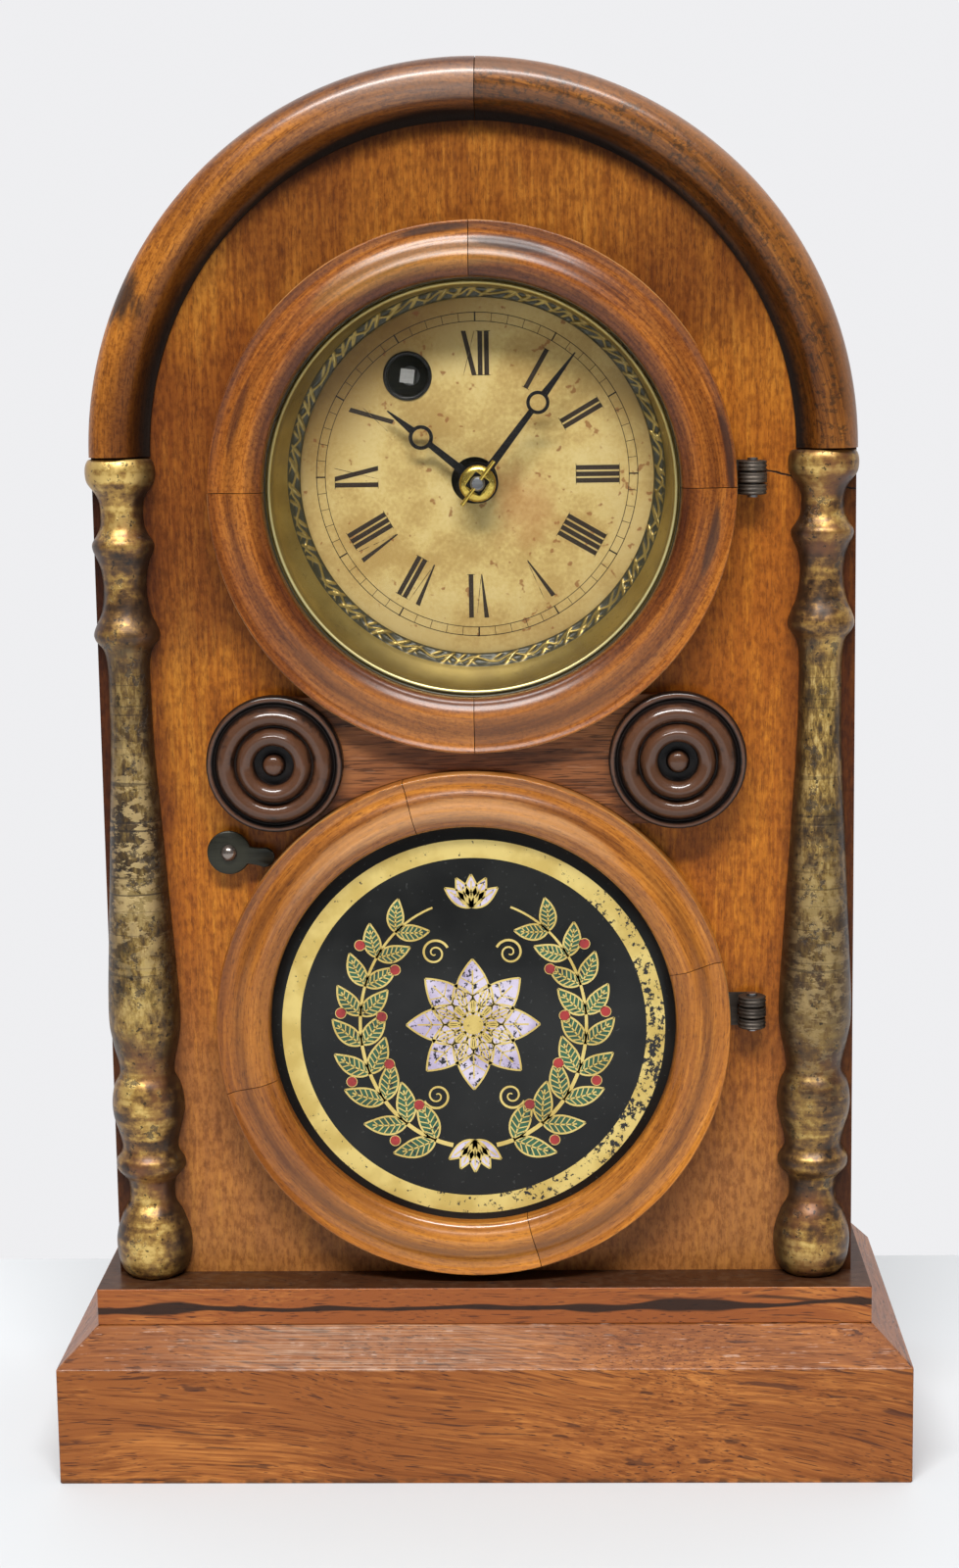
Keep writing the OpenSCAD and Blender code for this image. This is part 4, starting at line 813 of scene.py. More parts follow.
# half columns, turned: height above the floor and radius
column = {"footX": 97.1, "topX": 99.7, "foot": 55.8, "top": 297.5, "face": -32.5, "steps": 56,
          "worn": {-1: 182.0, 1: 150.0}, "murk": {-1: 232.0, 1: 142.0},
          "bright": {-1: 293.0, 1: 222.0}, "aside": {-1: -1.1, 1: 0.0}, "sag": {-1: 2.2, 1: 0.0}}
columnTurning = smoothLine([
    [55.8, 8.0], [57.5, 9.6], [60.6, 10.7], [63.7, 11.15], [66.8, 11.2], [69.8, 10.7], [72.9, 9.7],
    [75, 8.9], [77.1, 7.6], [78.3, 7.0], [80.7, 6.7], [82.8, 6.75], [85.2, 7.4], [86.7, 8.8], [88.5, 10.1],
    [90, 10.3], [91.5, 10.0], [93.1, 8.9], [94.6, 8.3], [97, 8.5], [100.6, 9.4], [104.3, 10.4],
    [107.6, 10.7], [111.2, 10.4], [114.1, 9.7], [117.1, 8.25], [118.6, 8.1], [121.5, 8.5], [125, 9.35],
    [128.2, 9.95], [131.1, 10.4], [135.5, 10.55], [141.6, 10.4], [160, 9.37], [178, 8.36], [196, 7.36],
    [214.2, 6.34], [225, 6.15], [238.2, 6.15], [241.6, 6.5], [244.2, 7.3], [246.4, 8.9], [248.1, 9.5],
    [249.5, 9.4], [251.8, 8.6], [254.6, 7.4], [257.4, 6.7], [260.8, 6.3], [264.2, 6.25], [267.8, 6.7],
    [270.6, 7.6], [272.9, 8.7], [274.3, 8.95], [275.4, 8.6], [276.8, 7.6], [279, 6.5], [281.8, 6.15],
    [284.6, 6.2], [287.1, 6.9], [288.8, 8.0], [291, 9.6], [293.2, 10.05], [295.6, 9.9], [297.1, 9.2],
    [297.5, 8.6]], 5)


def columnShell(side):
    # half turning: radius by height, carried half round its leaning axis; the flat back lies on the panel
    z = columnTurning[:, 0]
    r = columnTurning[:, 1]
    share = (z - column["foot"]) / (column["top"] - column["foot"])
    axis = side * (column["footX"] + share * (column["topX"] - column["footX"])) + column["aside"][side]
    # the upper beads of the left column hang a little low
    z = z - column["sag"][side] * np.exp(-((z - 262) / 20) ** 2)
    a = np.linspace(0, np.pi, column["steps"])[None, :]
    dent = 0.10 * np.sin(7 * a + 0.35 * z[:, None] + side) * np.sin(0.21 * z[:, None] + 3 * a)
    reach = r[:, None] + dent * np.sin(a)
    grid = np.stack([axis[:, None] + reach * np.cos(a), column["face"] - reach * np.sin(a),
                     np.broadcast_to(z[:, None], reach.shape)], -1)
    wrap = np.stack([np.broadcast_to(a * 9, reach.shape), np.zeros(reach.shape),
                     np.broadcast_to(z[:, None], reach.shape)], -1) * mm
    # raised: the radius against its running mean, so that beads hold more gold than hollows
    window = np.ones(81) / 81
    mean = np.convolve(np.pad(r, 40, mode="edge"), window, mode="valid")
    raised = np.clip((r - mean) / 2.0, -1, 1) + np.clip((z - 286) / 4, 0, 1)
    shaft = np.clip((z - 120) / 20, 0, 1) * np.clip((246 - z) / 14, 0, 1)
    worn = np.exp(-((z - column["worn"][side]) / 34) ** 2) * (1.0 if side < 0 else 0.5)
    murk = np.exp(-((z - column["murk"][side]) / (30 if side < 0 else 42)) ** 2) * (0.7 if side < 0 else 1.0)
    bright = np.exp(-((z - column["bright"][side]) / 18) ** 2)
    inner = np.clip((-side * np.cos(a) - 0.55) / 0.3, 0, 1) * np.ones_like(reach)
    sides = np.clip((np.abs(np.cos(a)) - 0.3) / 0.6, 0, 1) * np.ones_like(reach)
    marks = {"wrap": wrap, "inner": inner[..., None], "sides": sides[..., None]}
    byHeight = {"raised": raised, "shaft": shaft, "worn": worn, "murk": murk, "bright": bright}
    for name, line in byHeight.items():
        marks[name] = line[:, None, None] * np.ones((1, column["steps"], 1))
    return shellOf(grid, loopCols=True, capEnds=True, marks=marks)


makePiece("columnLeft", [columnShell(-1)], giltFinish, "case", ["column_left"])
makePiece("columnRight", [columnShell(1)], giltFinish, "case", ["column_right"])
print("columns made")

# door rings: four segments each; shares of width from the outside and of thickness
doorRing = {"outer": 74.7, "inner": 59.0, "thick": 13.0, "back": -32.9, "rabbet": 62.6, "rabbetDeep": 6.2,
            "gap": 0.24, "steps": 72, "upper": (0.0, 287.6), "lower": (-1.9, 132.5)}
latchKerf = {"centre": (-72.2, 183.6), "radius": 13.8}
ringTurning = np.vstack([
    [[0.0, 0.0], [0.0, 0.176], [0.0, 0.178], [0.0, 0.361], [0.0, 0.363]],
    smoothLine([[0, 0.76], [0.005, 0.825], [0.018, 0.858], [0.034, 0.866], [0.052, 0.858], [0.085, 0.838],
                [0.125, 0.817], [0.18, 0.808], [0.26, 0.826], [0.31, 0.85], [0.355, 0.877], [0.4, 0.9],
                [0.45, 0.919], [0.5, 0.937], [0.545, 0.957], [0.585, 0.977], [0.62, 0.992], [0.66, 1],
                [0.7, 0.996], [0.74, 0.984], [0.78, 0.967], [0.82, 0.943], [0.86, 0.914], [0.89, 0.896],
                [0.92, 0.882], [0.95, 0.862], [0.975, 0.835], [0.992, 0.795], [0.999, 0.74]], 4)])


def ringSegments(centre, first, kerf=None):
    # one profile carried round a quarter at a time; each quarter's grain follows the turning
    outer, inner, rabbet, deep = (doorRing[k] for k in ("outer", "inner", "rabbet", "rabbetDeep"))
    width = outer - inner
    face = np.stack([outer - ringTurning[:, 0] * width, ringTurning[:, 1] * doorRing["thick"]], -1)
    outline = np.vstack([face, [[inner, deep], [rabbet, deep], [rabbet, 0.0]]])
    outline[:, 1] = doorRing["back"] - outline[:, 1]
    share = (outer - outline[:, 0]) / width
    # marks by place across the ring: inner edge, shallow dip, outer arris
    ledge = {"edge": np.clip((share - 0.7) / 0.18, 0, 1), "dip": np.exp(-((share - 0.42) / 0.1) ** 2),
             "arris": np.where(outline[:, 1] < doorRing["back"] - 9.5, np.clip(1 - share / 0.022, 0, 1), 0.0)}
    slack = math.degrees(doorRing["gap"] / outer)
    shells = []
    for quarter in range(4):
        start = first + 90 * quarter
        degrees = np.linspace(start, start + 90 - slack, doorRing["steps"])
        grid = turnedGrid(outline, centre, degrees)
        if kerf:
            # the rim steps back to a circle about the latch, so that its tail can turn
            aside = (kerf["centre"][0] - centre[0], kerf["centre"][1] - centre[1])
            bearing = np.radians(degrees) - math.atan2(aside[1], aside[0])
            away = math.hypot(*aside)
            half = np.sqrt(np.clip(kerf["radius"] ** 2 - (away * np.sin(bearing)) ** 2, 0, None))
            near = np.where((half > 0) & (np.cos(bearing) > 0), away * np.cos(bearing) - half, outer)
            rim = np.minimum(near, outer)[:, None]
            grid[:, 2:4, 0] = centre[0] + rim * np.cos(np.radians(degrees))[:, None]
            grid[:, 2:4, 2] = centre[1] + rim * np.sin(np.radians(degrees))[:, None]
        mid = math.radians(start + 45)
        dx = grid[..., 0] - centre[0]
        dz = grid[..., 2] - centre[1]
        chord = dx * math.cos(mid) + dz * math.sin(mid)
        along = np.broadcast_to(np.radians(degrees)[:, None] * 67.0, chord.shape) + 310 * quarter
        outward = 0.12 * chord + np.hypot(dx, dz) + 57 * quarter
        grain = np.stack([along, outward, grid[..., 1]], -1) * mm
        turn = np.broadcast_to(degrees[:, None], grid.shape[:2])
        polar = np.stack([turn, np.broadcast_to(outline[None, :, 0], turn.shape), np.zeros(turn.shape)], -1)
        gloss = 0.3 + 0.7 * np.abs(np.sin(np.radians(turn)))
        flank = np.clip((-np.cos(np.radians(turn)) - 0.4) / 0.5, 0, 1)
        marks = {"grain": grain, "polar": polar, "gloss": gloss[..., None], "flank": flank[..., None]}
        for name, line in ledge.items():
            marks[name] = np.broadcast_to(line[None, :, None], (*turn.shape, 1))
        shells.append(shellOf(grid, loopCols=True, capEnds=True, marks=marks))
    return shells


makePiece("upperRing", ringSegments(doorRing["upper"], 0.0), upperRingFinish, "door",
          ["upper_ring_segments"], corner=45)
makePiece("lowerRing", ringSegments(doorRing["lower"], 15.0, latchKerf), lowerRingFinish, "door",
          ["lower_ring_segments"], corner=45)
print("door rings made")

# rosettes: radius share and height
rosette = {"radius": 19.7, "spots": ((-57.8, 210.05), (57.8, 210.05)), "back": -37.9}
rosetteTurning = np.vstack([
    [[0.0, 0.0], [1.0, 0.0]],
    smoothLine([[1, 0.6], [1, 3.3], [0.985, 4.2], [0.95, 4.5], [0.91, 4.3], [0.885, 3.9]], 5),
    smoothLine([[0.875, 3.9], [0.86, 4.3], [0.83, 5.6], [0.78, 6.9], [0.71, 7.5], [0.64, 7.1], [0.59, 6.0],
                [0.57, 5.0]], 5),
    smoothLine([[0.56, 5.0], [0.54, 6.0], [0.5, 7.6], [0.43, 8.8], [0.36, 8.3], [0.31, 7.2], [0.293, 5.6],
                [0.285, 4.3]], 5),
    smoothLine([[0.275, 4.2], [0.22, 4.15], [0.175, 4.2]], 3),
    smoothLine([[0.165, 4.4], [0.155, 5.4], [0.14, 6.6], [0.1, 7.3], [0.05, 7.55], [0.0, 7.6]], 5)])


def rosetteShell(centre):
    outline = np.stack([rosetteTurning[:, 0] * rosette["radius"], rosette["back"] - rosetteTurning[:, 1]], -1)
    crest = np.clip((rosetteTurning[:, 1] - 3.8) / 4.4, 0, 1)
    rim = np.exp(-((rosetteTurning[:, 0] - 0.95) / 0.03) ** 2)
    crest = np.maximum(crest, rim * 0.9)
    return turnedShell(outline, centre, 120, marks={"crest": crest})


makePiece("rosettePair", [rosetteShell(c) for c in rosette["spots"]], rosetteFinish, "door", ["rosettes"])
print("rosettes made")

# sight ring: rolled lip, plain band, then a stamped leaf scroll beside the dial
sight = {"centre": doorRing["upper"], "dialCentre": (1.1, 290.7), "units": 70, "stampFrom": 54.2,
         "stampTo": 50.7, "deep": 0.7, "thick": 0.35, "steps": 900}
sightProfile = np.vstack([
    [[62.3, -37.0], [59.2, -37.0]],
    smoothLine([[58.9, -36.9], [58.6, -36.4], [58.45, -36.7], [58.1, -37.05], [57.6, -37.0], [57.2, -36.6],
                [57.0, -36.1]], 3),
    smoothLine([[56.95, -35.6], [56.2, -33.8], [55.2, -31.6], [54.3, -30.0]], 2),
    smoothLine([[54.2, -29.8], [53.6, -28.9], [52.8, -28.3], [51.9, -28.0], [51.2, -27.7],
                [50.7, -27.1]], 5)])


def sightShell():
    # turned profile whose inner edge moves over to the dial's own centre;
    # in the inner band slanting leaves on a wavy stem push it forward
    degrees = np.linspace(0, 360, sight["steps"], endpoint=False)
    grid = turnedGrid(sightProfile, sight["centre"], degrees)
    r = sightProfile[None, :, 0]
    a = np.radians(degrees)[:, None]
    s = np.clip((sight["stampFrom"] - r) / (sight["stampFrom"] - sight["stampTo"]), 0, 1)
    inside = np.clip((sight["stampFrom"] - r) / 0.25, 0, 1) * np.clip((r - sight["stampTo"]) / 0.25, 0, 1)
    unit = a * sight["units"] / (2 * np.pi) + 0.22 * np.sin(11 * a) + 0.12 * np.sin(23 * a + 1)
    slant = np.abs((unit - 0.9 * s) % 1 - 0.5)
    leaf = np.exp(-((0.5 - slant) / 0.17) ** 2) * np.sin(np.pi * s) ** 0.6
    sprig = np.abs((unit + 1.3 * s + 0.2) % 1 - 0.5)
    sprig = 0.7 * np.exp(-((0.5 - sprig) / 0.1) ** 2) * np.clip(np.sin(np.pi * s * 1.6), 0, 1)
    leaf = np.maximum(leaf, sprig)
    stem = 0.6 * np.exp(-((s - 0.5 - 0.2 * np.sin(np.pi * unit)) / 0.09) ** 2)
    uneven = 0.62 + 0.38 * np.sin(2.3 * unit + 1.7) * np.sin(0.73 * unit)
    lift = inside * np.maximum(leaf * uneven, stem)
    grid[..., 1] -= lift * sight["deep"]
    over = np.clip((57.0 - r) / 3.5, 0, 1)
    over = over * over * (3 - 2 * over)
    grid[..., 0] += over * (sight["dialCentre"][0] - sight["centre"][0])
    grid[..., 2] += over * (sight["dialCentre"][1] - sight["centre"][1])
    # the rolled bead gets a high tone for its painted highlight, the flange under the wood ring a low one for
    # painted shade
    bead = np.exp(-((r - 57.8) / 0.55) ** 2)
    tone = np.where(inside > 0.05, lift * 1.5, 0.85 + 0.6 * bead)
    tone = np.where(r > 58.75, 0.1, tone)
    return shellOf(grid, loopRows=True, marks={"lift": tone[..., None]})


sightPiece = makePiece("sightRing", [sightShell()], sightFinish, "door", ["sight_ring"],
                       solid=False, corner=60)
sheet = sightPiece.modifiers.new("sheet", "SOLIDIFY")
sheet.thickness = sight["thick"] * mm
sheet.offset = -1.0
print("sight ring made")

# dial print: numerals stand with their feet to the centre
dial = {"centre": (1.1, 291.1), "face": -25.53, "foot": 28.4, "head": 41.0, "thick": 1.35, "thin": 0.16,
        "track": (43.7, 46.2), "barPitch": 1.85,
        "words": ("XII", "I", "II", "III", "IIII", "V", "VI", "VII", "VIII", "IX", "X")}


def stroke(foot, head, wideFoot, wideHead, turn, keep):
    # a straight stroke between two (sideways, outward) points with a width at each end,
    # turned clockwise from the top
    share = np.linspace(0, 1, 14)[:, None]
    middle = np.array(foot) * (1 - share) + np.array(head) * share
    wide = (wideFoot * (1 - share) + wideHead * share) / 2
    p = np.concatenate([middle[:, :1] - wide, middle[:, :1] + wide], 1)
    q = np.repeat(middle[:, 1:], 2, 1)
    c = math.cos(math.radians(turn))
    s = math.sin(math.radians(turn))
    grid = np.stack([dial["centre"][0] + p * c + q * s, np.full(p.shape, dial["face"]),
                     dial["centre"][1] - p * s + q * c], -1)
    return shellOf(grid[:, ::-1], marks={"keep": np.full((*p.shape, 1), keep)})


def numeral(word, turn):
    low, high, thick, thin = dial["foot"], dial["head"], dial["thick"], dial["thin"]
    wide = {"I": dial["barPitch"], "V": 4.3, "X": 4.6}
    x = -sum(wide[c] for c in word) / 2
    shells = []
    for c in word:
        mid = x + wide[c] / 2
        if c == "I":
            shells.append(stroke((mid, low), (mid, high), thick, thick, turn, 1.0))
            shells.append(stroke((mid, low), (mid, low + thin), 2.3, 2.3, turn, 0.45))
            shells.append(stroke((mid, high - thin), (mid, high), 2.3, 2.3, turn, 0.45))
        if c == "V":
            shells.append(stroke((mid, low), (mid - 1.35, high), 0.35, thick, turn, 0.95))
            shells.append(stroke((mid + 0.1, low), (mid + 1.5, high), thin, thin, turn, 0.3))
        if c == "X":
            shells.append(stroke((mid + 1.5, low), (mid - 1.5, high), thick, thick, turn, 0.9))
            shells.append(stroke((mid - 1.6, low), (mid + 1.6, high), thin, thin, turn, 0.3))
        x += wide[c]
    return shells


def trackRing(radius, wide):
    # a thin printed circle
    outline = np.array([[radius - wide / 2, dial["face"]], [radius + wide / 2, dial["face"]]])
    return turnedShell(outline, dial["centre"], 240, marks={"keep": np.full(2, 0.72)})


inner, outer = dial["track"]
inkShells = [trackRing(inner, 0.2), trackRing(outer, 0.22)]
for minute in range(60):
    if minute % 5:
        inkShells.append(stroke((0, inner), (0, outer), 0.16, 0.16, 6 * minute, 0.72))
    else:
        inkShells.append(stroke((0, inner - 0.1), (0, outer + 0.2), 0.42, 0.42, 6 * minute, 0.95))
for hour, word in enumerate(dial["words"]):
    inkShells += numeral(word, 30 * hour)
makePiece("dialPrint", inkShells, inkFinish, "case", solid=False)
print("dial print made")

# hand washer: a dished brass ring with a square hole, and the domed end of the arbor in it
hub = {"centre": (1.5, 289.1), "turn": 37.0, "square": 2.45}
washerProfile = smoothLine([[3.4, -33.5], [3.4, -34.1], [3.6, -34.3], [4.1, -34.15], [4.8, -33.75],
                            [5.2, -33.3], [5.2, -33.1], [4.7, -33.2], [4.0, -33.5], [3.45, -33.45]], 4)
turn = np.linspace(0, 360, 96, endpoint=False)
grid = turnedGrid(washerProfile, (0.0, 0.0), turn)
bearing = np.radians(turn + hub["turn"])[:, None]
corner = np.minimum(hub["square"] / np.maximum(np.abs(np.cos(bearing)), np.abs(np.sin(bearing))), 3.3)
reach = np.broadcast_to(washerProfile[None, :, 0], grid.shape[:2])
pull = np.clip((4.1 - reach) / 0.7, 0, 1) * (3.4 - corner) / 3.4
grid[..., 0] = hub["centre"][0] + grid[..., 0] * (1 - pull)
grid[..., 2] = hub["centre"][1] + grid[..., 2] * (1 - pull)
makePiece("handWasher", [shellOf(grid, loopRows=True, loopCols=True)], washerFinish, "minute_arbor",
          ["hand_washer"], corner=60)
tipProfile = smoothLine([[0.0, -36.28], [0.8, -36.2], [1.5, -35.9], [2.0, -35.4], [2.15, -34.8], [2.1, -34.3],
                         [1.9, -33.4], [0.0, -33.4]], 5)
tipProfile[:, 0] = np.clip(tipProfile[:, 0], 0, None)
tip = turnedShell(tipProfile, hub["centre"], 48)
makePiece("arborTip", [tip], steelFinish, "minute_arbor")

# winding eyelet: a rolled black rim with a short tube behind it
eyelet = {"centre": (-18.4, 319.6), "steps": 96}
eyeletProfile = smoothLine([[7.0, -25.52], [6.95, -25.8], [6.7, -26.0], [6.4, -26.05], [6.1, -25.95],
                            [5.9, -25.7], [5.9, -24.9], [5.9, -24.12], [6.15, -24.12], [6.15, -24.9],
                            [6.2, -25.5], [6.6, -25.5], [7.0, -25.5]], 4)
rolled = turnedShell(eyeletProfile, eyelet["centre"], eyelet["steps"], loopCols=True)
makePiece("windingEyelet", [rolled], eyeletFinish, "case", ["winding_eyelet"], corner=60)

# hinges: rolled knuckles with strap ends, worn iron
hinge = {"x": 79.3, "y": -37.1, "z": (290.0, 135.4), "tall": 3.3}


def barrel(z, tall):
    # a knuckle about an upright axis with rounded rims and a pin hole: x = r cos a, y = r sin a, z along
    h = tall / 2 - 0.12
    outline = smoothLine([[1.6, -h], [3.2, -h], [3.8, -h + 0.12], [4.06, -h + 0.5], [4.1, -0.5], [4.1, 0.5],
                          [4.06, h - 0.5], [3.8, h - 0.12], [3.2, h], [1.6, h]], 10)
    outline = np.vstack([outline, [[1.55, 0.0]]])
    a = np.linspace(0, 2 * np.pi, 64, endpoint=False)[:, None]
    ridges = 0.13 * np.cos(2 * np.pi * outline[None, :, 1] / 1.15) - 0.13
    r = outline[None, :, 0] + (ridges + 0.04 * np.sin(5 * a + z)) * (outline[None, :, 0] > 3)
    along = np.broadcast_to(outline[None, :, 1], r.shape)
    grid = np.stack([hinge["x"] + r * np.cos(a), hinge["y"] + r * np.sin(a), z + along], -1)
    return shellOf(grid, loopRows=True, loopCols=True)


def strap(lo, hi, edge=0.25):
    # a flat bar with rounded long edges: a rounded-rectangle section (x, y) carried up z
    a = np.linspace(0, 2 * np.pi, 24, endpoint=False)
    half = [(hi[0] - lo[0]) / 2 - edge, (hi[1] - lo[1]) / 2 - edge]
    px = (lo[0] + hi[0]) / 2 + np.sign(np.cos(a)) * half[0] + edge * np.cos(a)
    py = (lo[1] + hi[1]) / 2 + np.sign(np.sin(a + 1e-6)) * half[1] + edge * np.sin(a)
    pz = np.array([lo[2], hi[2]])[:, None]
    grid = np.stack([np.broadcast_to(p, (2, 24)) for p in (px, py, pz)], -1)
    return shellOf(grid, loopCols=True, capEnds=True)


doorSide = []
caseSide = []
for z in hinge["z"]:
    doorSide += [barrel(z - hinge["tall"], hinge["tall"]), barrel(z + hinge["tall"], hinge["tall"])]
    doorSide.append(strap((64.2, -34.0, z - 4.85), (75.4, -33.0, z + 4.85)))
    for s in (-1, 1):
        at = z + s * hinge["tall"]
        doorSide.append(strap((75.2, -34.0, at - 1.55), (hinge["x"], -33.0, at + 1.55)))
    caseSide.append(barrel(z, hinge["tall"]))
    caseSide.append(strap((82.4, -37.1, z - 1.45), (83.4, -24.5, z + 1.45)))
    caseSide.append(strap((82.4, -25.5, z - 1.45), (92.4, -24.5, z + 1.45)))
makePiece("doorHinges", doorSide, ironFinish, "door", ["door_hinge_leaves"])
makePiece("caseHinges", caseSide, ironFinish, "case", ["case_hinge_leaves"])

# latch: a round plate with a lobed tail, and the rivet's dome
latch = {"centre": latchKerf["centre"], "radius": 6.4, "reach": 13.4, "tail": 2.9, "fall": 8.0, "back": -35.6}


def latchPlate():
    # polar outline: the disc's radius, or the tail lobe's where that reaches further; edges rounded over
    a = np.linspace(0, 2 * np.pi, 160, endpoint=False)[:, None]
    lobe = latch["reach"] - latch["tail"]
    turn = a + math.radians(latch["fall"])
    over = latch["tail"] ** 2 - (lobe * np.sin(turn)) ** 2
    tail = np.where((over > 0) & (np.cos(turn) > 0), lobe * np.cos(turn) + np.sqrt(np.clip(over, 0, None)), 0)
    neck = np.where(np.cos(turn) > 0.3, np.minimum(2.5 / (np.abs(np.sin(turn)) + 1e-6), lobe), 0)
    rim = np.maximum(np.maximum(tail, neck), latch["radius"])
    r = np.concatenate([np.full_like(rim, 1.62), np.full_like(rim, 3.4), np.full_like(rim, 3.4),
                        rim - 0.35, rim - 0.05, rim, rim - 0.12, rim - 0.5, np.full_like(rim, 2.4),
                        np.full_like(rim, 1.62)], 1)
    y = latch["back"] + np.array([2.75, 2.75, 0.0, 0.0, -0.3, -0.8, -1.3, -1.56, -1.6, -1.6])
    return shellOf(np.stack([latch["centre"][0] + r * np.cos(a), np.broadcast_to(y, r.shape),
                             latch["centre"][1] + r * np.sin(a)], -1), loopRows=True, loopCols=True)


makePiece("latchPlate", [latchPlate()], latchFinish, "latch", ["latch_button"])
domeProfile = smoothLine([[0.0, -39.25], [0.9, -39.1], [1.7, -38.6], [2.25, -37.9], [2.35, -37.25],
                          [1.6, -37.15], [1.55, -30.0], [1.55, -24.4], [3.1, -24.35], [3.15, -24.2],
                          [0.0, -24.2]], 5)
domeProfile[:, 0] = np.clip(domeProfile[:, 0], 0, None)
dome = turnedShell(domeProfile, latch["centre"], 64)
makePiece("latchRivet", [dome], domeFinish, "case", ["latch_pivot"])
print("hinges and latch made")

# tablet: black pane, worn gold border, and a plain garland about a rosette
tablet = {"centre": doorRing["lower"], "front": -39.1, "back": -37.1, "radius": 62.45, "border": (50.5, 55.9),
          "borderCentre": (-1.9, 131.4), "paint": -39.12, "line": -39.15, "wreath": 35.0, "leaves": 9}
front, back, radius = (tablet[k] for k in ("front", "back", "radius"))
paneProfile = np.array([[0.0, back], [radius - 0.45, back], [radius, back - 0.3], [radius, front + 0.3],
                        [radius - 0.45, front], [0.0, front]])
pane = turnedShell(paneProfile, tablet["centre"], 128)
makePiece("tabletPane", [pane], tabletFinish, "door", ["tablet_glass"])

radii = np.linspace(*tablet["border"], 8)
degrees = np.linspace(0, 360, 300, endpoint=False)
grid = turnedGrid(np.stack([radii, np.full(8, tablet["paint"])], -1), tablet["borderCentre"], degrees)
east = np.clip(np.cos(np.radians(degrees + 20)), 0, 1)[:, None, None]
loss = np.broadcast_to(0.15 + 0.75 * east, (300, 8, 1))
border = shellOf(grid[:, ::-1], loopRows=True, marks={"loss": loss})
makePiece("tabletBorder", [border], leafGoldFinish, "door", solid=False)


def onTablet(polarR, polarA):
    # (x, z) from a distance and an angle from the tablet's centre
    x, z = tablet["centre"]
    return np.stack([x + polarR * np.cos(polarA), z + polarR * np.sin(polarA)], -1)


def lossMark(shell, value):
    shell["marks"] = {"loss": np.full((len(shell["points"]), 1), value)}
    return shell


def leafShape(base, heading, length, wide, bow):
    # a pointed leaf: its middle line bends by bow, its half width swells as the sine of the share along it
    s = np.linspace(0, 1, 16)
    run = heading + bow * (s - 0.5)
    step = np.stack([np.cos(run), np.sin(run)], -1) * length / 15
    line = np.asarray(base) + np.vstack([[0, 0], np.cumsum(step[:-1], 0)])
    side = np.stack([-np.sin(run), np.cos(run)], -1)
    half = wide / 2 * np.sin(np.pi * s ** 0.8) ** 0.9
    return line, line + side * half[:, None], line - side * half[:, None]


def fillBetween(one, other, depth):
    # a flat patch between two edges
    edge = np.stack([other, one], 1)
    return shellOf(np.stack([edge[..., 0], np.full(edge.shape[:2], depth), edge[..., 1]], -1))


def linePaint(path, width):
    return lossMark(ribbon(path, width, tablet["line"]), 0.0)


gold = []
green = []
lavender = []
red = []


def painted(fill, line, left, right, ribs, depth, loss):
    # a leaf or petal: a fill of colour, a gold edge, a gold middle line and slanting ribs
    fill.append(lossMark(fillBetween(left, right, depth), loss))
    gold.append(linePaint(left, 0.55))
    gold.append(linePaint(right, 0.55))
    gold.append(linePaint(line[1:13], 0.45))
    for rib in ribs:
        for edge in (left, right):
            gold.append(linePaint(np.linspace(line[rib - 2], edge[rib] * 0.9 + line[rib] * 0.1, 4), 0.34))


def dot(fill, centre, radius, depth, loss):
    spin = np.linspace(0, 2 * np.pi, 28)
    rim = centre + radius * np.stack([np.cos(spin), np.sin(spin)], -1)
    fill.append(lossMark(fillBetween(rim, np.repeat(np.asarray(centre)[None], 28, 0), depth), loss))
    return rim


def curl(centre, side, up):
    # a spiral tendril
    spin = np.linspace(0.4, 11.5, 120)
    path = centre + (4.2 - 0.33 * spin)[:, None] * np.stack([side * np.cos(spin), up * np.sin(spin)], -1)
    gold.append(linePaint(path, np.linspace(0.75, 0.35, 120)))


for side in (-1, 1):
    # a bough each side, its radius swaying a little as it climbs
    sweep = np.linspace(math.radians(-80), math.radians(72), 90)
    bough = onTablet(tablet["wreath"] - 2.0 * np.cos(2 * sweep), sweep)
    bough[:, 0] = tablet["centre"][0] + side * (bough[:, 0] - tablet["centre"][0])
    gold.append(linePaint(bough, np.linspace(1.3, 0.6, 90)))
    for leaf in range(tablet["leaves"]):
        at = 5 + leaf * 9
        ahead = bough[at + 2] - bough[at]
        heading = math.atan2(ahead[1], ahead[0])
        for turn in (-0.72, 0.72):
            shape = leafShape(bough[at], heading + turn, 13.0 - 0.4 * leaf, 5.6 - 0.12 * leaf, -0.5 * turn)
            painted(green, *shape, (4, 6, 8, 10, 12), tablet["paint"], 0.3)
        if leaf % 2:
            aside = (bough[at] - np.array(tablet["centre"])) * 0.14
            for place in (bough[at] + aside * 1.25, bough[at] - aside * 1.35):
                gold.append(linePaint(dot(red, place, 1.45, tablet["line"] - 0.01, 0.2), 0.4))
    for up in (-1, 1):
        curl(onTablet(24.0, math.radians(90 * up + side * 27)), side, up)

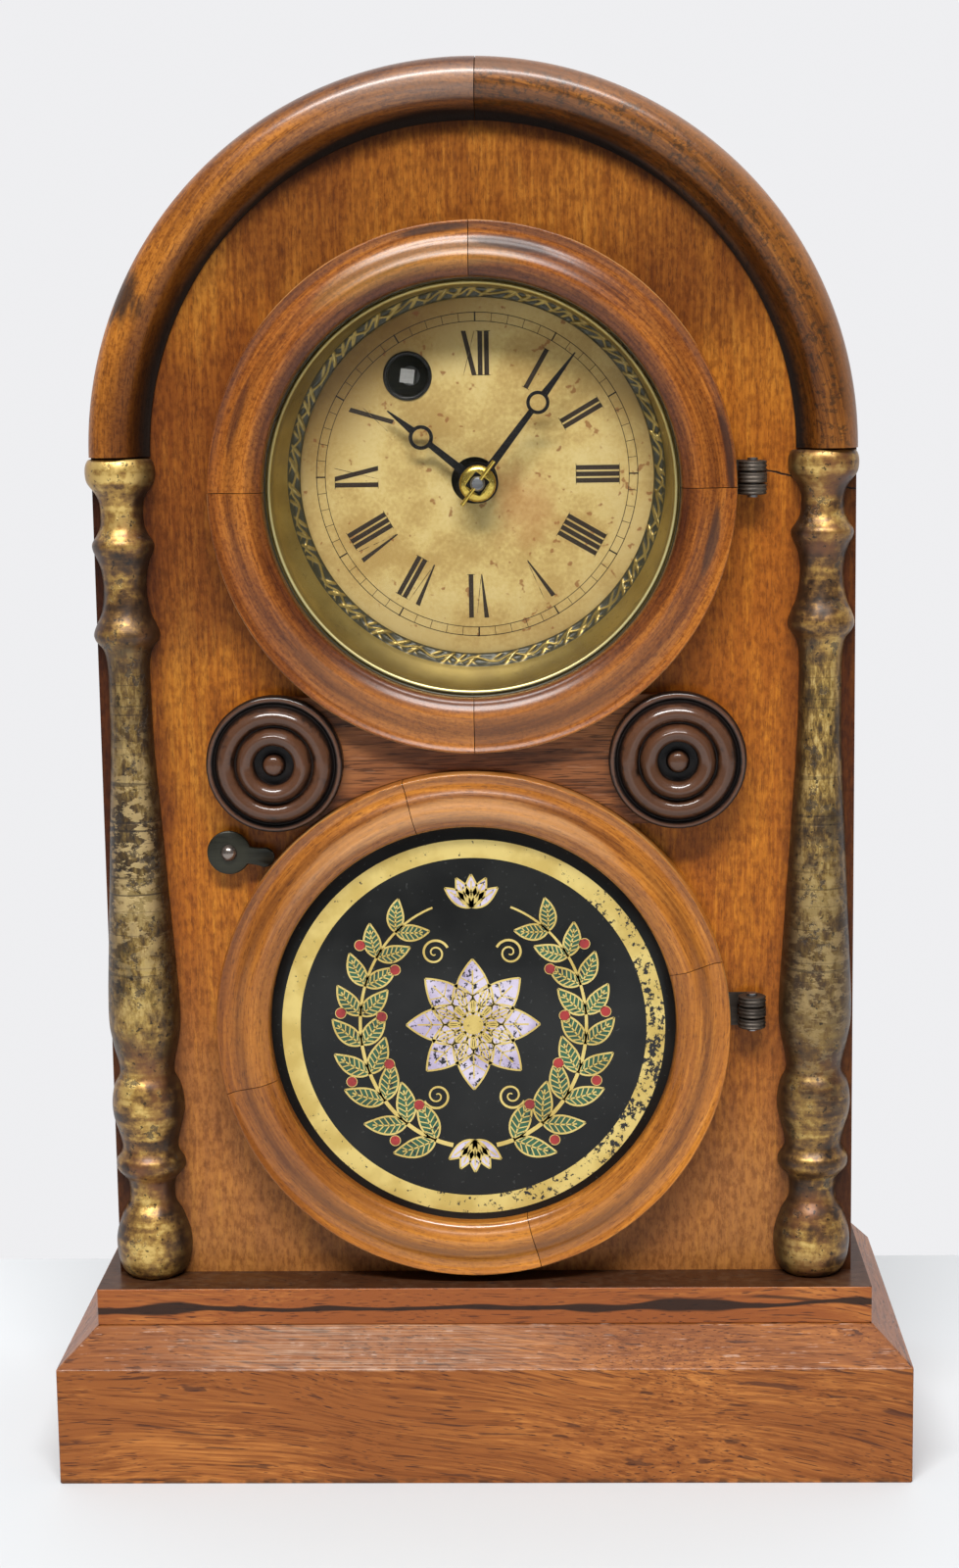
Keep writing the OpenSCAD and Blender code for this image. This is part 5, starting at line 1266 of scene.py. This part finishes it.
for rank, (long, wide, start) in enumerate(((18.0, 9.6, 3.2), (11.5, 6.4, 2.2))):
    for petal in range(8):
        heading = 2 * math.pi * (petal + 0.5 * rank) / 8
        shape = leafShape(onTablet(start, heading), heading, long - start + 1.5, wide, 0.0)
        painted(lavender, *shape, (7, 10), tablet["paint"] - 0.012 * rank, 0.45)
dot(gold, np.array(tablet["centre"]), 3.0, tablet["line"] - 0.02, 0.1)
for bud in (90, 270):
    for k in range(5):
        heading = math.radians(bud + (k - 2) * 27)
        shape = leafShape(onTablet(35.0, math.radians(bud)), heading, 9.5, 3.9, 0.0)
        painted(lavender, *shape, (), tablet["paint"] - 0.004, 0.3)
makePiece("tabletLeaves", green, leafGreenFinish, "door", solid=False)
makePiece("tabletPetals", lavender, petalFinish, "door", solid=False)
makePiece("tabletBerries", red, berryFinish, "door", solid=False)
makePiece("tabletGoldLines", gold, leafGoldFinish, "door", solid=False)
print("tablet made")

# CAD pieces that keep their shape: finish, and edges eased where hands and dusters reach
cadFinishes = (
    (baseFrontFinish, ("base_front_rail",)),
    (baseSideFinish, ("base_side_rails",)),
    (plinthFinish, ("plinth_board",)),
    (sideFinish, ("case_sides",)),
    (archShellFinish, ("case_arch",)),
    (panelFinish, ("front_panel",)),
    (railFinish, ("door_rail",)),
    (pineUprightFinish, ("back_board",)),
    (pineLevelFinish, ("base_back_rail", "movement_rails", "tablet_retainer")),
    (screwFinish, ("back_board_screws", "movement_screws")),
    (paperFinish, ("dial_plate",)),
    (glassFinish, ("upper_glass",)),
    (handFinish, ("minute_hand", "hour_hand")),
    (washerFinish, ("hand_pin",)),
    (squareFinish, ("winding_arbor",)),
    (shadedPlateFinish, ("front_plate", "back_plate")),
    (shadedWheelFinish, ("minute_wheel", "hour_wheel")),
    (brassFinish, ("pillar_nuts", "suspension_post", "main_wheel", "centre_wheel", "third_wheel",
                   "escape_wheel", "crutch", "pendulum_bob", "rating_nut")),
    (steelFinish, ("dial_pins", "plate_pillars", "mainspring", "hinge_pins", "ratchet_wheel", "main_click",
                   "centre_arbor", "centre_pinion", "third_arbor", "escape_arbor", "verge",
                   "suspension_spring", "pendulum_rod")),
)
for finish, names in cadFinishes:
    for name in names:
        nodes[name].data.materials.clear()
        nodes[name].data.materials.append(finish)

easedEdges = {"base_front_rail": 0.5, "base_side_rails": 0.5, "base_back_rail": 0.4, "plinth_board": 0.5,
              "case_sides": 0.4, "case_arch": 0.4, "front_panel": 0.35, "door_rail": 0.4}
for name, size in easedEdges.items():
    weld = nodes[name].modifiers.new("join", "WELD")
    weld.merge_threshold = 1e-6
    ease = nodes[name].modifiers.new("ease", "BEVEL")
    ease.width = size * mm
    ease.segments = 3
    ease.limit_method = "ANGLE"
    ease.angle_limit = math.radians(40)
    ease.harden_normals = True
print("CAD pieces finished")

# camera, from the photograph's own vanishing lines, for a frame of 979 x 1600
view = {"place": (25.7, -798.3, 322.8), "yaw": -1.866, "pitch": 8.929, "roll": -0.846,
        "focal": 2730.0 / 1600.0, "sensor": 24.0}
yaw, pitch, roll = (math.radians(view[k]) for k in ("yaw", "pitch", "roll"))
ahead = Vector((math.sin(yaw) * math.cos(pitch), math.cos(yaw) * math.cos(pitch), -math.sin(pitch)))
level = Vector((math.cos(yaw), -math.sin(yaw), 0.0))
upright = level.cross(ahead)
right = math.cos(roll) * level + math.sin(roll) * upright
top = math.cos(roll) * upright - math.sin(roll) * level
lens = bpy.data.cameras.new("viewCamera")
lens.sensor_fit = "VERTICAL"
lens.sensor_height = view["sensor"]
lens.lens = view["sensor"] * view["focal"]
lens.clip_start = 0.01
camera = bpy.data.objects.new("viewCamera", lens)
scene.collection.objects.link(camera)
pose = Matrix((right, top, -ahead)).transposed().to_4x4()
pose.translation = Vector(view["place"]) * mm
camera.matrix_world = pose
scene.camera = camera

# table, lamps and room
table = {"left": -1.6, "right": 1.6, "front": -2.4, "back": 0.141}
f = Finish("tableTop", {"Specular IOR Level": 0.2})
cloud = f.noise(f.place(), 6.0, 3)
f.colour = f.blend(cloud, tint(209, 212, 214), tint(206, 209, 211))
# painted light: the table made paler towards the back
f.paint(f.place().part("Y").step(-0.12, 0.14), (213, 216, 218))
tableFinish = f.done(0.6 + cloud * 0.1)
xs = np.linspace(table["left"], table["right"], 9)
ys = np.linspace(table["front"], table["back"], 9)
xs, ys = np.meshgrid(xs, ys, indexing="ij")
sheetTop = shellOf(np.stack([xs, ys, np.zeros_like(xs)], -1))
mesh = bpy.data.meshes.new("tableTop")
mesh.from_pydata(sheetTop["points"].tolist(), [], sheetTop["quads"].tolist())
mesh.materials.append(tableFinish)
tableTop = bpy.data.objects.new("tableTop", mesh)
scene.collection.objects.link(tableTop)


def softLamp(name, place, aim, size, watts):
    lamp = bpy.data.lights.new(name, "AREA")
    lamp.shape = "RECTANGLE"
    lamp.size = size[0]
    lamp.size_y = size[1]
    lamp.energy = watts
    made = bpy.data.objects.new(name, lamp)
    scene.collection.objects.link(made)
    made.location = place
    made.rotation_euler = (Vector(aim) - Vector(place)).to_track_quat("-Z", "Y").to_euler()
    return made


softLamp("keyLamp", (-0.14, -1.82, 2.55), (0, 0, 0.22), (2.2, 0.4), 117.0)
softLamp("overLamp", (0.1, -0.3, 1.8), (0, 0, 0.1), (1.0, 0.8), 4.0)

# the room is dim on the camera's side and bright behind the clock
world = bpy.data.worlds.new("room")
world.use_nodes = True
scene.world = world
tree = world.node_tree
tree.nodes.clear()
coords = tree.nodes.new("ShaderNodeTexCoord")
split = tree.nodes.new("ShaderNodeSeparateXYZ")
shade = tree.nodes.new("ShaderNodeMapRange")
shade.interpolation_type = "SMOOTHSTEP"
for place, value in (("From Min", -0.25), ("From Max", 0.45), ("To Min", 0.17), ("To Max", 0.86)):
    shade.inputs[place].default_value = value
backdrop = tree.nodes.new("ShaderNodeBackground")
backdrop.inputs[0].default_value = (1.0, 1.0, 1.02, 1.0)
roomOut = tree.nodes.new("ShaderNodeOutputWorld")
tree.links.new(coords.outputs["Generated"], split.inputs[0])
tree.links.new(split.outputs[1], shade.inputs[0])
tree.links.new(shade.outputs[0], backdrop.inputs[1])
tree.links.new(backdrop.outputs[0], roomOut.inputs[0])
print("camera and light set")
